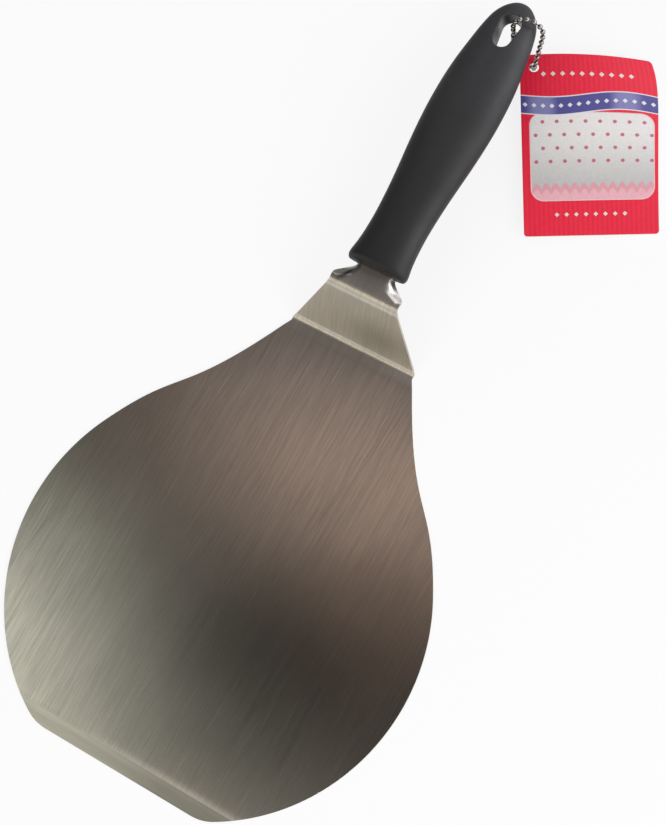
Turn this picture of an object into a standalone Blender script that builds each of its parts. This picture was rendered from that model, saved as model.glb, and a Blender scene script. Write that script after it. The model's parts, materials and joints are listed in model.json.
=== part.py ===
"""Cake lifter with a cranked round blade, a moulded handle and a card on a ball chain.

Units are metres and +Z is up. The origin is the centre of the round blade, on its underside.
+Y runs from the blade to the tip of the handle, and +X is to the right.
"""

import math

import bmesh
import bpy
from mathutils import Matrix, Vector

MM = 0.001

# Round blade, seen from above
BLADE_RADIUS = 95.0 * MM
FRONT_CUT_DEPTH = 10.0 * MM
FRONT_CORNER_RADIUS = 20.0 * MM
FLANK_LEAVE_ANGLE = math.radians(27.5)
FLANK_END_ANGLE = math.radians(27.3)
FLANK_PULL_LOW = 44.2 * MM
FLANK_PULL_HIGH = 63.5 * MM

# Sheet and its ground front edge
SHEET = 1.0 * MM
GROUND_WIDTH = 6.8 * MM
GROUND_EDGE = 0.35 * MM

# Crank between the blade and the neck
LOWER_BEND_FROM_RIM = 31.3 * MM
LOWER_BEND_HALF_WIDTH = 30.7 * MM
RISER_RUN = 15.7 * MM
RISER_RISE = 27.4 * MM
UPPER_BEND_HALF_WIDTH = 16.7 * MM
BEND_RADIUS = 4.5 * MM

# Neck with its turned-down edges, measured along Y from the upper bend
WEB_NARROWING_START = 0.4 * MM
WEB_NARROWING_LENGTH = 6.0 * MM
WEB_HALF_WIDTH = 6.8 * MM
EDGE_NARROWING_START = 3.2 * MM
EDGE_NARROWING_LENGTH = 8.5 * MM
NECK_HALF_WIDTH = 8.6 * MM
FLANGE_START = 1.4 * MM
FLANGE_LENGTH = 5.0 * MM
FLANGE_DROP = 2.1 * MM
NECK_LENGTH = 12.0 * MM

# Tang inside the handle
TANG_LENGTH = 62.0 * MM
TANG_HALF_WIDTH = 7.0 * MM
FLANGE_FADE_START = 4.0 * MM
FLANGE_FADE_LENGTH = 16.0 * MM
TANG_END_ROUND = 5.0 * MM
KEY_HOLE_RADIUS = 2.4 * MM
KEY_HOLE_SHARES = (0.52, 0.80)

# Moulded handle
HANDLE_LENGTH = 136.1 * MM
HANDLE_HALF_WIDTH = 16.25 * MM
HANDLE_HALF_THICKNESS = 7.6 * MM
HANDLE_FRONT_HEIGHT = 28.4 * MM
HANDLE_TIP_DROP = 0.9 * MM
HANDLE_SQUARENESS = 2.5
RIM_DEPTH = 2.6 * MM
RIM_SIDE_INSET = 1.2 * MM
RIM_TOP_INSET = 4.6 * MM
WIDTH_STATION_SHARES = (
    (0.000, 0.868),
    (0.022, 0.868),
    (0.059, 0.819),
    (0.096, 0.790),
    (0.154, 0.774),
    (0.206, 0.783),
    (0.279, 0.817),
    (0.353, 0.870),
    (0.426, 0.929),
    (0.507, 0.978),
    (0.580, 1.000),
    (0.669, 0.988),
    (0.742, 0.940),
    (0.816, 0.855),
    (0.874, 0.775),
    (0.926, 0.669),
    (0.957, 0.540),
    (1.000, 0.000),
)
THICKNESS_STATION_SHARES = (
    (0.00, 0.92),
    (0.20, 0.92),
    (0.45, 1.00),
    (0.65, 0.95),
    (0.80, 0.78),
    (0.90, 0.67),
    (0.96, 0.52),
    (0.985, 0.37),
    (1.00, 0.00),
)

# Hanging slot: a rounded drop shape, wider towards the tip, and a little narrower below
SLOT_WIDE_RADIUS = 4.8 * MM
SLOT_NARROW_RADIUS = 3.8 * MM
SLOT_WIDE_FROM_TIP = 12.4 * MM
SLOT_CENTRES_APART = 8.2 * MM
SLOT_RIM_CHAMFER = 0.5 * MM
SLOT_DRAFT = 0.5 * MM

# Fits
SEAT_GAP = 0.3 * MM
CUT_OVERRUN = 2.0 * MM

# Ball chain
BEAD_RADIUS = 1.2 * MM
BEAD_WALL = 0.25 * MM
BEAD_HOLE_RADIUS = 0.64 * MM
BEAD_PITCH = 3.39 * MM
PIN_RADIUS = 0.25 * MM
PIN_HEAD_RADIUS = 0.75 * MM
SLEEVE_GAP = 0.15 * MM
SLEEVE_WALL = 0.3 * MM
SLEEVE_SLIT = 0.9 * MM
STRAIGHT_ENOUGH = math.radians(1)

# Where the rings of a link lie: shares of the way round its hollow, its bead and its pin's head
HOLLOW_RING_SHARES = (0.27, 0.52)
BEAD_RING_SHARES = (0, 0.22, 0.45, 0.68, 0.86)
HEAD_RING_SHARES = (0, 0.36, 0.72)

# Course of the chain
CROSSING_FROM_SLOT_END = 2.65 * MM
CROSSING_ANGLE = math.radians(8.5)
ARCH_SLACK = 2.3 * MM
ARCH_LEAN = 1.5 * MM
ARCH_CLEARANCE = 1.2 * MM
ARCH_OFFSET = 0.5 * MM
FLOOR_TURN_RADIUS = 5.0 * MM
INNER_END_BEAD_HEIGHT = 17.8 * MM
UPPER_FOLD_HEIGHT = 20.8 * MM
LOWER_FOLD_HEIGHT = 12.0 * MM

# Swing card, with how far each corner lifts off the table
CARD_WIDTH = 58.5 * MM
CARD_LENGTH = 84.6 * MM
CARD_THICKNESS = 0.5 * MM
CARD_CORNER_RADIUS = 1.5 * MM
CARD_CORNER_DROOP = 3.7 * MM
CARD_HOLE_RADIUS = 2.5 * MM
CARD_HOLE_FROM_SIDE = 6.6 * MM
CARD_HOLE_FROM_TOP = 6.4 * MM
CARD_TURN = math.radians(29.0)
CARD_THREAD_X = 12.5 * MM
CARD_THREAD_FROM_TIP = 16.1 * MM
CARD_FLOOR_GAP = 0.15 * MM
CARD_TOP_LEFT_LIFT = 7.6 * MM
CARD_BOTTOM_LEFT_LIFT = 5.2 * MM
CARD_BOW = 2.5 * MM

# Fineness
BLADE_ARC_STEPS = 84
FLANK_STEPS = 14
CORNER_STEPS = 5
BEND_STEPS = 5
NECK_STEPS = 12
FADE_STEPS = 5
TANG_STEPS = 5
HANDLE_SIDES = 28
HANDLE_RINGS = 24
TIP_RINGS = 7
RIM_STEPS = 3
SLOT_STEPS = 12
KEY_HOLE_STEPS = 16
LINK_SIDES = 10
SLEEVE_SIDES = 16
CURVE_STEPS = 60
CARD_ROWS = 8
CARD_COLUMNS = 7
DROOP_START_SHARE = 0.35
CARD_CORNER_STEPS = 4
CARD_HOLE_STEPS = 20
CLOSING_ROUNDS = 40

# Where the columns of the sheet lie: shares of the web, then of the turned-down edge
WEB_COLUMN_SHARES = (0.0, 0.5, 1.0)
FLANGE_COLUMN_SHARES = (0.28, 0.62, 1.0)
FLANGE_DROP_SHARES = (0.17, 0.58, 1.0)

FRONT_SETBACK = BLADE_RADIUS - FRONT_CUT_DEPTH
RISER_ANGLE = math.atan2(RISER_RISE, RISER_RUN)
LOWER_BEND_FROM_CENTRE = BLADE_RADIUS + LOWER_BEND_FROM_RIM
UPPER_BEND_FROM_CENTRE = LOWER_BEND_FROM_CENTRE + RISER_RUN
BEND_TANGENT = BEND_RADIUS * math.tan(RISER_ANGLE / 2)
HANDLE_FRONT = UPPER_BEND_FROM_CENTRE + NECK_LENGTH
HANDLE_TIP = HANDLE_FRONT + HANDLE_LENGTH
TANG_END = HANDLE_FRONT + TANG_LENGTH
SLOT_WIDE_CENTRE = HANDLE_TIP - SLOT_WIDE_FROM_TIP
SLOT_NARROW_CENTRE = SLOT_WIDE_CENTRE - SLOT_CENTRES_APART


def clear_scene():
    for old in list(bpy.data.objects):
        bpy.data.objects.remove(old)


def finish_material(name, colour, roughness, metallic):
    material = bpy.data.materials.new(name)
    material.use_nodes = True
    shader = material.node_tree.nodes["Principled BSDF"]
    shader.inputs["Base Color"].default_value = (*colour, 1)
    shader.inputs["Roughness"].default_value = roughness
    shader.inputs["Metallic"].default_value = metallic
    material.diffuse_color = (*colour, 1)
    return material


def make_object(name, bm, material, smooth_angle=math.radians(35)):
    bmesh.ops.recalc_face_normals(bm, faces=bm.faces)
    mesh = bpy.data.meshes.new(name)
    bm.to_mesh(mesh)
    bm.free()
    mesh.shade_smooth()
    mesh.set_sharp_from_angle(angle=smooth_angle)
    if material:
        mesh.materials.append(material)
    obj = bpy.data.objects.new(name, mesh)
    bpy.context.scene.collection.objects.link(obj)
    return obj


def make_guide(obj):
    obj.hide_render = True
    obj.display_type = "WIRE"
    return obj


def cut_with(obj, cutter):
    cut = obj.modifiers.new(cutter.name, "BOOLEAN")
    cut.operation = "DIFFERENCE"
    cut.solver = "EXACT"
    cut.object = cutter


def ease(share):
    """A share from 0 to 1 with level ends."""
    share = min(max(share, 0), 1)
    return share * share * (3 - 2 * share)


def between(low, high, share):
    return low + (high - low) * share


def blend_along(y, start, length, low, high):
    return between(low, high, ease((y - start) / length))


def arc_points(centre, radius, start, end, steps):
    points = []
    for i in range(steps + 1):
        angle = between(start, end, i / steps)
        points.append(centre + Vector((radius * math.cos(angle), radius * math.sin(angle))))
    return points


def station_value(stations, share):
    """A smooth value between stations. It is read on squares, so that a zero end closes round."""
    last = len(stations) - 1
    i = 0
    while i < last - 1 and share > stations[i + 1][0]:
        i += 1
    window = [stations[min(max(k, 0), last)] for k in range(i - 1, i + 3)]
    before, low, high, after = [Vector((place, value * value)) for place, value in window]
    span = high.x - low.x
    slope_low = (high.y - before.y) / (high.x - before.x)
    slope_high = (after.y - low.y) / (after.x - low.x)
    t = (share - low.x) / span
    square = (
        low.y * (1 + 2 * t) * (1 - t) ** 2
        + slope_low * span * t * (1 - t) ** 2
        + high.y * t * t * (3 - 2 * t)
        - slope_high * span * t * t * (1 - t)
    )
    return math.sqrt(max(square, 0))


# The sheet: blade, crank, neck and tang


def blade_side_outline():
    """The right side of the blade seen from above, from the front edge to the lower bend."""
    reach = BLADE_RADIUS - FRONT_CORNER_RADIUS
    corner_y = FRONT_CORNER_RADIUS - FRONT_SETBACK
    corner = Vector((math.sqrt(reach**2 - corner_y**2), corner_y))
    meet_angle = math.atan2(corner.y, corner.x)
    points = arc_points(corner, FRONT_CORNER_RADIUS, -math.pi / 2, meet_angle, CORNER_STEPS)
    rim = arc_points(
        Vector((0, 0)), BLADE_RADIUS, meet_angle, FLANK_LEAVE_ANGLE, BLADE_ARC_STEPS // 2
    )
    points += rim[1:]
    points += flank_points(rim[-1])[1:]
    return points


def flank_points(start):
    """The drawn-in side that leads from the round rim to the lower bend."""
    end = Vector((LOWER_BEND_HALF_WIDTH, LOWER_BEND_FROM_CENTRE - BEND_TANGENT))
    leave = Vector((-math.sin(FLANK_LEAVE_ANGLE), math.cos(FLANK_LEAVE_ANGLE)))
    arrive = Vector((-math.sin(FLANK_END_ANGLE), math.cos(FLANK_END_ANGLE)))
    pull_low = start + leave * FLANK_PULL_LOW
    pull_high = end - arrive * FLANK_PULL_HIGH
    points = []
    for i in range(FLANK_STEPS + 1):
        t = i / FLANK_STEPS
        points.append(
            start * (1 - t) ** 3
            + pull_low * 3 * t * (1 - t) ** 2
            + pull_high * 3 * t * t * (1 - t)
            + end * t**3
        )
    return points


def column_places(web, half_width, drop):
    """Across one row of the sheet: how far out each column lies, and how far it turns down."""
    right = [(web * share, 0) for share in WEB_COLUMN_SHARES]
    for out, down in zip(FLANGE_COLUMN_SHARES, FLANGE_DROP_SHARES):
        right.append((between(web, half_width, out), drop * down))
    left = [(-x, z) for x, z in reversed(right[1:])]
    return left + right


def neck_row(y, widen):
    """One row across the neck or the tang, at the height of the neck's underside."""
    web = blend_along(
        y,
        UPPER_BEND_FROM_CENTRE + WEB_NARROWING_START,
        WEB_NARROWING_LENGTH,
        UPPER_BEND_HALF_WIDTH,
        WEB_HALF_WIDTH,
    )
    half_width = blend_along(
        y,
        UPPER_BEND_FROM_CENTRE + EDGE_NARROWING_START,
        EDGE_NARROWING_LENGTH,
        UPPER_BEND_HALF_WIDTH,
        NECK_HALF_WIDTH,
    )
    web = min(web, half_width * WEB_HALF_WIDTH / NECK_HALF_WIDTH)
    drop = FLANGE_DROP * ease((y - UPPER_BEND_FROM_CENTRE - FLANGE_START) / FLANGE_LENGTH)
    fade = ease((y - HANDLE_FRONT - FLANGE_FADE_START) / FLANGE_FADE_LENGTH)
    half_width = between(half_width, TANG_HALF_WIDTH, fade)
    web = between(web, TANG_HALF_WIDTH * WEB_HALF_WIDTH / NECK_HALF_WIDTH, fade)
    drop *= 1 - fade
    into_round = max(y - (TANG_END - TANG_END_ROUND), 0)
    spare = TANG_END_ROUND - math.sqrt(max(TANG_END_ROUND**2 - into_round**2, 0))
    narrowing = 1 - spare / TANG_HALF_WIDTH
    return [
        Vector((x * narrowing + math.copysign(widen, x) * (x != 0), y, RISER_RISE - down))
        for x, down in column_places(web, half_width, drop)
    ]


def crank_rows():
    """The rows from the lower bend, up the riser and round the upper bend."""
    slope = Vector((math.cos(RISER_ANGLE), math.sin(RISER_ANGLE)))
    lower_vertex = Vector((LOWER_BEND_FROM_CENTRE, 0))
    upper_vertex = Vector((UPPER_BEND_FROM_CENTRE, RISER_RISE))
    lower_centre = lower_vertex + Vector((-BEND_TANGENT, BEND_RADIUS))
    upper_centre = upper_vertex + Vector((BEND_TANGENT, -BEND_RADIUS))
    profile = arc_points(
        lower_centre, BEND_RADIUS, -math.pi / 2, RISER_ANGLE - math.pi / 2, BEND_STEPS
    )
    profile += arc_points(
        upper_centre, BEND_RADIUS, math.pi / 2 + RISER_ANGLE, math.pi / 2, BEND_STEPS
    )
    web_share = WEB_HALF_WIDTH / NECK_HALF_WIDTH
    riser_length = (upper_vertex - lower_vertex).length
    rows = []
    for place in profile:
        climbed = min(max((place - lower_vertex).dot(slope) / riser_length, 0), 1)
        half_width = between(LOWER_BEND_HALF_WIDTH, UPPER_BEND_HALF_WIDTH, climbed)
        columns = column_places(half_width * web_share, half_width, 0)
        rows.append([Vector((x, place.x, place.y)) for x, _ in columns])
    return rows


def neck_rows(start, end, steps, widen=0):
    return [neck_row(between(start, end, i / steps), widen) for i in range(1, steps + 1)]


def tang_row_groups(widen=0):
    """Rows from the handle's front end to the end of the tang, finer where the edges fade out."""
    fade_end = HANDLE_FRONT + FLANGE_FADE_START + FLANGE_FADE_LENGTH
    round_start = TANG_END - TANG_END_ROUND
    rows = neck_rows(HANDLE_FRONT, fade_end, FADE_STEPS, widen)
    rows += neck_rows(fade_end, round_start, TANG_STEPS, widen)
    for i in range(1, CORNER_STEPS):
        swing = math.pi / 2 * i / CORNER_STEPS
        rows.append(neck_row(round_start + TANG_END_ROUND * math.sin(swing), widen))
    return rows


def add_strips(bm, rows):
    """Faces between rows of points, each row running from left to right."""
    for low, high in zip(rows, rows[1:]):
        for i in range(len(low) - 1):
            bm.faces.new((low[i], low[i + 1], high[i + 1], high[i]))


def blade_sheet(material):
    bm = bmesh.new()
    right = blade_side_outline()
    ground_line = GROUND_WIDTH - FRONT_SETBACK
    strip_side = [p for p in right if p.y < ground_line]
    disc_side = [p for p in right if p.y > ground_line]
    turn = math.asin(ground_line / BLADE_RADIUS)
    line_end = Vector((BLADE_RADIUS * math.cos(turn), ground_line))
    rows = crank_rows()
    first_row = [bm.verts.new(p) for p in rows[0]]

    def flat_pair(point):
        return bm.verts.new((-point.x, point.y, 0)), bm.verts.new((point.x, point.y, 0))

    strip_pairs = [flat_pair(p) for p in strip_side]
    line_pair = flat_pair(line_end)
    disc_pairs = [flat_pair(p) for p in disc_side[:-1]]
    strip = [pair[1] for pair in strip_pairs] + [line_pair[1]]
    strip += [line_pair[0]] + [pair[0] for pair in reversed(strip_pairs)]
    bm.faces.new(strip)
    disc = [line_pair[1]] + [pair[1] for pair in disc_pairs] + list(reversed(first_row))
    disc += [pair[0] for pair in reversed(disc_pairs)] + [line_pair[0]]
    bm.faces.new(disc)

    neck_start = UPPER_BEND_FROM_CENTRE + BEND_TANGENT
    rows += neck_rows(neck_start, HANDLE_FRONT, NECK_STEPS)
    rows += tang_row_groups()
    grid = [first_row] + [[bm.verts.new(p) for p in row] for row in rows[1:]]
    add_strips(bm, grid)
    thin = [vert for pair in strip_pairs for vert in pair]
    for face in bm.faces:
        if face.normal.z < 0:
            face.normal_flip()
    return thicken_sheet("lifter_blade", bm, thin, material)


def thicken_sheet(name, bm, thin, material):
    """Gives the flat sheet its thickness upwards, thinned at the ground front edge."""
    bm.normal_update()
    bm.verts.index_update()
    shares = {}
    for vert in thin:
        back = (vert.co.y + FRONT_SETBACK) / GROUND_WIDTH
        shares[vert.index] = between(GROUND_EDGE / SHEET, 1, back)
    mesh = bpy.data.meshes.new(name)
    bm.to_mesh(mesh)
    bm.free()
    mesh.materials.append(material)
    obj = bpy.data.objects.new(name, mesh)
    bpy.context.scene.collection.objects.link(obj)
    group = obj.vertex_groups.new(name="thickness")
    for vert in mesh.vertices:
        group.add([vert.index], shares.get(vert.index, 1), "REPLACE")
    solidify = obj.modifiers.new("sheet", "SOLIDIFY")
    solidify.thickness = SHEET
    solidify.offset = 1
    solidify.use_even_offset = True
    solidify.vertex_group = group.name
    mesh.shade_smooth()
    mesh.set_sharp_from_angle(angle=math.radians(30))
    return obj


def upright_cylinder(name, radius, place, height, steps):
    bm = bmesh.new()
    bmesh.ops.create_cone(
        bm,
        cap_ends=True,
        segments=steps,
        radius1=radius,
        radius2=radius,
        depth=height,
        matrix=Matrix.Translation(place),
    )
    return make_guide(make_object(name, bm, None))


def key_hole_places():
    return [HANDLE_FRONT + TANG_LENGTH * share for share in KEY_HOLE_SHARES]


def cut_key_holes(sheet):
    for number, y in enumerate(key_hole_places(), 1):
        place = Vector((0, y, RISER_RISE + SHEET / 2))
        name = f"key_hole_cutter_{number}"
        height = SHEET + 2 * CUT_OVERRUN
        cut_with(sheet, upright_cylinder(name, KEY_HOLE_RADIUS, place, height, KEY_HOLE_STEPS))


# The moulded handle


def handle_half_width(y):
    share = (y - HANDLE_FRONT) / HANDLE_LENGTH
    return HANDLE_HALF_WIDTH * station_value(WIDTH_STATION_SHARES, share)


def handle_half_thickness(y):
    share = (y - HANDLE_FRONT) / HANDLE_LENGTH
    return HANDLE_HALF_THICKNESS * station_value(THICKNESS_STATION_SHARES, share)


def handle_height(y):
    share = (y - HANDLE_FRONT) / HANDLE_LENGTH
    return HANDLE_FRONT_HEIGHT - HANDLE_TIP_DROP * share


def rounded_section(y, side_inset=0, top_inset=0):
    """One closed ring round the handle: an ellipse with squared shoulders."""
    half_width = handle_half_width(y) - side_inset
    half_thickness = handle_half_thickness(y) - top_inset
    power = 2 / HANDLE_SQUARENESS
    ring = []
    for i in range(HANDLE_SIDES):
        angle = 2 * math.pi * i / HANDLE_SIDES
        across = math.copysign(abs(math.cos(angle)) ** power, math.cos(angle))
        up = math.copysign(abs(math.sin(angle)) ** power, math.sin(angle))
        ring.append(Vector((half_width * across, y, handle_height(y) + half_thickness * up)))
    return ring


def handle_sections():
    sections = []
    for i in range(RIM_STEPS):
        turn = math.pi / 2 * i / RIM_STEPS
        y = HANDLE_FRONT + RIM_DEPTH * (1 - math.cos(turn))
        inset = 1 - math.sin(turn)
        sections.append(rounded_section(y, RIM_SIDE_INSET * inset, RIM_TOP_INSET * inset))
    body_start = HANDLE_FRONT + RIM_DEPTH
    tip_start = SLOT_WIDE_CENTRE
    for i in range(HANDLE_RINGS + 1):
        sections.append(rounded_section(between(body_start, tip_start, i / HANDLE_RINGS)))
    for i in range(1, TIP_RINGS + 1):
        swing = math.pi / 2 * i / (TIP_RINGS + 1)
        y = between(tip_start, HANDLE_TIP, math.sin(swing))
        sections.append(rounded_section(y))
    return sections


def skin_rings(bm, rings, start_pole=None, end_pole=None):
    """Joins rings of points into a closed skin, with a fan to each pole or a flat end."""
    loops = [[bm.verts.new(p) for p in ring] for ring in rings]
    for low, high in zip(loops, loops[1:]):
        for i, vert in enumerate(low):
            following = (i + 1) % len(low)
            bm.faces.new((vert, low[following], high[following], high[i]))
    for loop, pole in ((loops[0], start_pole), (loops[-1], end_pole)):
        if pole is None:
            bm.faces.new(loop)
            continue
        tip = bm.verts.new(pole)
        for i, vert in enumerate(loop):
            bm.faces.new((vert, loop[(i + 1) % len(loop)], tip))


def slot_outline(grow):
    """The drop-shaped slot: two round ends joined by their outer tangents."""
    wide = SLOT_WIDE_RADIUS + grow
    narrow = SLOT_NARROW_RADIUS + grow
    lean = math.asin((wide - narrow) / SLOT_CENTRES_APART)
    tip_end = arc_points(
        Vector((0, SLOT_WIDE_CENTRE)), wide, -lean, math.pi + lean, SLOT_STEPS
    )
    blade_end = arc_points(
        Vector((0, SLOT_NARROW_CENTRE)), narrow, math.pi + lean, 2 * math.pi - lean, SLOT_STEPS
    )
    return tip_end + blade_end


def slot_cutter():
    """A straight shaft whose ends flare, so that both rims of the slot are chamfered."""
    middle = handle_height(SLOT_WIDE_CENTRE)
    half = handle_half_thickness(SLOT_WIDE_CENTRE)
    reach = half + CUT_OVERRUN
    flare = SLOT_RIM_CHAMFER + CUT_OVERRUN
    levels = (
        (middle - reach, flare - SLOT_DRAFT),
        (middle - half + SLOT_RIM_CHAMFER, -SLOT_DRAFT),
        (middle + half - SLOT_RIM_CHAMFER, 0),
        (middle + reach, flare),
    )
    rings = [[Vector((p.x, p.y, z)) for p in slot_outline(grow)] for z, grow in levels]
    bm = bmesh.new()
    skin_rings(bm, rings)
    return make_guide(make_object("hanging_slot_cutter", bm, None))


def tang_pocket():
    """The space the tang fills, one seat gap larger all round, left as posts in the key holes."""
    bm = bmesh.new()
    rows = [neck_row(HANDLE_FRONT - CUT_OVERRUN, SEAT_GAP)]
    rows.append(neck_row(HANDLE_FRONT, SEAT_GAP))
    rows += tang_row_groups(SEAT_GAP)
    rows.append([p + Vector((0, SEAT_GAP, 0)) for p in rows[-1]])
    grid = [[bm.verts.new(p) for p in row] for row in rows]
    add_strips(bm, grid)
    for face in bm.faces:
        if face.normal.z < 0:
            face.normal_flip()
    bm.normal_update()
    mesh = bpy.data.meshes.new("tang_pocket_cutter")
    bm.to_mesh(mesh)
    bm.free()
    pocket = bpy.data.objects.new(mesh.name, mesh)
    bpy.context.scene.collection.objects.link(pocket)
    solidify = pocket.modifiers.new("sheet", "SOLIDIFY")
    solidify.thickness = SHEET + 2 * SEAT_GAP
    solidify.offset = SHEET / (SHEET + 2 * SEAT_GAP)
    solidify.use_even_offset = True
    for number, y in enumerate(key_hole_places(), 1):
        place = Vector((0, y, RISER_RISE + SHEET / 2))
        height = SHEET + 2 * CUT_OVERRUN
        radius = KEY_HOLE_RADIUS - SEAT_GAP
        name = f"post_saver_{number}"
        cut_with(pocket, upright_cylinder(name, radius, place, height, KEY_HOLE_STEPS))
    return make_guide(pocket)


def handle_grip(material):
    bm = bmesh.new()
    sections = handle_sections()
    tip = Vector((0, HANDLE_TIP, handle_height(HANDLE_TIP)))
    skin_rings(bm, sections, end_pole=tip)
    grip = make_object("handle_grip", bm, material, math.radians(40))
    cut_with(grip, slot_cutter())
    cut_with(grip, tang_pocket())
    return grip


# The ball chain


def slot_half_width(y):
    """Half the slot's width at a place in its wide end."""
    return math.sqrt(max(SLOT_WIDE_RADIUS**2 - (y - SLOT_WIDE_CENTRE) ** 2, 0))


def arch_points():
    """The chain's arch over the rail beside the slot, from the slot outwards."""
    crossing_y = SLOT_WIDE_CENTRE + SLOT_WIDE_RADIUS - CROSSING_FROM_SLOT_END
    rail_inner = slot_half_width(crossing_y)
    rail_outer = handle_half_width(crossing_y)
    rail_top = handle_height(crossing_y) + handle_half_thickness(crossing_y)
    radius = (rail_outer - rail_inner) / 2 + BEAD_RADIUS + ARCH_SLACK
    x = (rail_outer + rail_inner) / 2 - ARCH_OFFSET
    z = rail_top + BEAD_RADIUS + ARCH_CLEARANCE - radius
    centre = Vector((x, crossing_y, z))
    across = Vector((math.cos(CROSSING_ANGLE), math.sin(CROSSING_ANGLE), 0)) * radius
    rise = Vector((0, ARCH_LEAN, radius))
    points = []
    for i in range(BEND_STEPS + 2):
        swing = math.pi * i / (BEND_STEPS + 1)
        points.append(centre - across * math.cos(swing) + rise * math.sin(swing))
    return points


def thread_place():
    """Where the chain passes through the card's hole."""
    height = card_lift(*held_point()) + CARD_THICKNESS / 2
    return Vector((CARD_THREAD_X, HANDLE_TIP - CARD_THREAD_FROM_TIP, height))


def chain_course():
    """Points that the chain runs through once round, starting on the strand under the slot."""
    arch = arch_points()
    thread = thread_place()
    floor = BEAD_RADIUS + CARD_FLOOR_GAP
    foot = Vector((arch[0].x, arch[0].y, thread.z))
    along = foot - thread
    turn = min(FLOOR_TURN_RADIUS, along.length / 2)
    along.normalize()
    down = Vector((0, 0, floor - thread.z))
    half_turn = 1 - math.cos(math.pi / 4)
    half_drop = math.sin(math.pi / 4)
    points = [Vector((arch[0].x, arch[0].y, INNER_END_BEAD_HEIGHT))] + arch
    points.append((arch[-1] + thread) / 2)
    points.append(thread)
    points.append(thread + along * turn * half_turn + down * half_drop)
    points.append(thread + along * turn + down)
    points.append(foot - along * turn + down)
    points.append(foot - along * turn * half_turn + down * half_drop)
    points.append(foot)
    return points


def smooth_loop(points):
    """A dense closed curve that passes smoothly through all the points."""
    count = len(points)
    dense = []
    for i in range(count):
        p0, p1, p2, p3 = [points[(i + k) % count] for k in (-1, 0, 1, 2)]
        k0, k1, k2 = [math.sqrt((b - a).length) for a, b in ((p0, p1), (p1, p2), (p2, p3))]
        leave = ((p1 - p0) / k0 - (p2 - p0) / (k0 + k1) + (p2 - p1) / k1) * k1
        arrive = ((p2 - p1) / k1 - (p3 - p1) / (k1 + k2) + (p3 - p2) / k2) * k1
        for j in range(CURVE_STEPS):
            t = j / CURVE_STEPS
            dense.append(
                p1 * (1 + 2 * t) * (1 - t) ** 2
                + leave * t * (1 - t) ** 2
                + p2 * t * t * (3 - 2 * t)
                - arrive * t * t * (1 - t)
            )
    return dense


def walk_loop(dense, spacing, count):
    """Steps of one straight-line spacing along the closed curve, and how far round they end."""
    places = [dense[0]]
    index = 0
    size = len(dense)
    while len(places) <= count:
        here = places[-1]
        while (dense[(index + 1) % size] - here).length < spacing:
            index += 1
        a = dense[index % size] - here
        step = dense[(index + 1) % size] - dense[index % size]
        half = a.dot(step)
        square = step.length_squared
        share = (-half + math.sqrt(half * half - square * (a.length_squared - spacing**2))) / square
        places.append(dense[index % size] + step * share)
        travelled = index + share
    return places, travelled / size


def bead_centres():
    """Bead places all round the loop, an equal step apart, with the loop closed."""
    dense = smooth_loop(chain_course())
    length = sum((b - a).length for a, b in zip(dense, dense[1:] + dense[:1]))
    count = round(length / BEAD_PITCH)
    low = BEAD_PITCH / 2
    high = length / count
    for _ in range(CLOSING_ROUNDS):
        spacing = (low + high) / 2
        if walk_loop(dense, spacing, count)[1] < 1:
            low = spacing
        else:
            high = spacing
    return walk_loop(dense, low, count)[0][:count]


def ring_about(axis, side, radius, along):
    """A ring of points round an axis through zero, placed along it."""
    other = axis.cross(side)
    ring = []
    for i in range(LINK_SIDES):
        angle = 2 * math.pi * i / LINK_SIDES
        ring.append(axis * along + (side * math.cos(angle) + other * math.sin(angle)) * radius)
    return ring


def link_rings(arriving, leaving, step):
    """Rings of one link, from the hollow's front wall, out of its hole, round the bead, along the
    pin to its head. The rings lean over from the arriving direction to the leaving one."""
    hollow = BEAD_RADIUS - BEAD_WALL
    rim_inner = math.pi - math.asin(BEAD_HOLE_RADIUS / hollow)
    rim_outer = math.pi - math.asin(BEAD_HOLE_RADIUS / BEAD_RADIUS)
    pin_leaves = math.asin(PIN_RADIUS / BEAD_RADIUS)
    head_starts = math.pi - math.asin(PIN_RADIUS / PIN_HEAD_RADIUS)
    lean = arriving.angle(leaving, 0)
    hinge = arriving.cross(leaving) if lean > STRAIGHT_ENOUGH else arriving.orthogonal()
    hinge.normalize()

    def ring(polar, radius, turned, centre=0):
        axis = Matrix.Rotation(turned, 3, hinge) @ arriving
        return ring_about(axis, hinge, radius * math.sin(polar), centre + radius * math.cos(polar))

    rings = [ring(math.pi * share, hollow, 0) for share in HOLLOW_RING_SHARES]
    rings.append(ring(rim_inner, hollow, 0))
    for share in BEAD_RING_SHARES:
        polar = between(rim_outer, pin_leaves, share)
        rings.append(ring(polar, BEAD_RADIUS, lean * share))
    if step:
        rings.append(ring(pin_leaves, BEAD_RADIUS, lean))
        for share in HEAD_RING_SHARES:
            polar = between(head_starts, 0, share)
            rings.append(ring(polar, PIN_HEAD_RADIUS, lean, step))
    return rings


def chain_link(name, centre, arriving, leaving, step, material):
    bm = bmesh.new()
    rings = link_rings(arriving, leaving, step)
    hollow_wall = arriving * (BEAD_RADIUS - BEAD_WALL)
    end = leaving * (step + PIN_HEAD_RADIUS if step else BEAD_RADIUS)
    skin_rings(bm, rings, start_pole=hollow_wall, end_pole=end)
    link = make_object(name, bm, material)
    link.location = centre
    return link


def chain_links(centres, material):
    """Every bead with its pin. The last one is a plain end bead, held by the connector."""
    count = len(centres)
    links = []
    for i, centre in enumerate(centres):
        arriving = (centre - centres[i - 1]).normalized()
        onward = centres[(i + 1) % count] - centre
        step = onward.length if i < count - 1 else 0
        name = f"chain_link_{i + 1:02d}"
        links.append(chain_link(name, centre, arriving, onward.normalized(), step, material))
    return links


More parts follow.
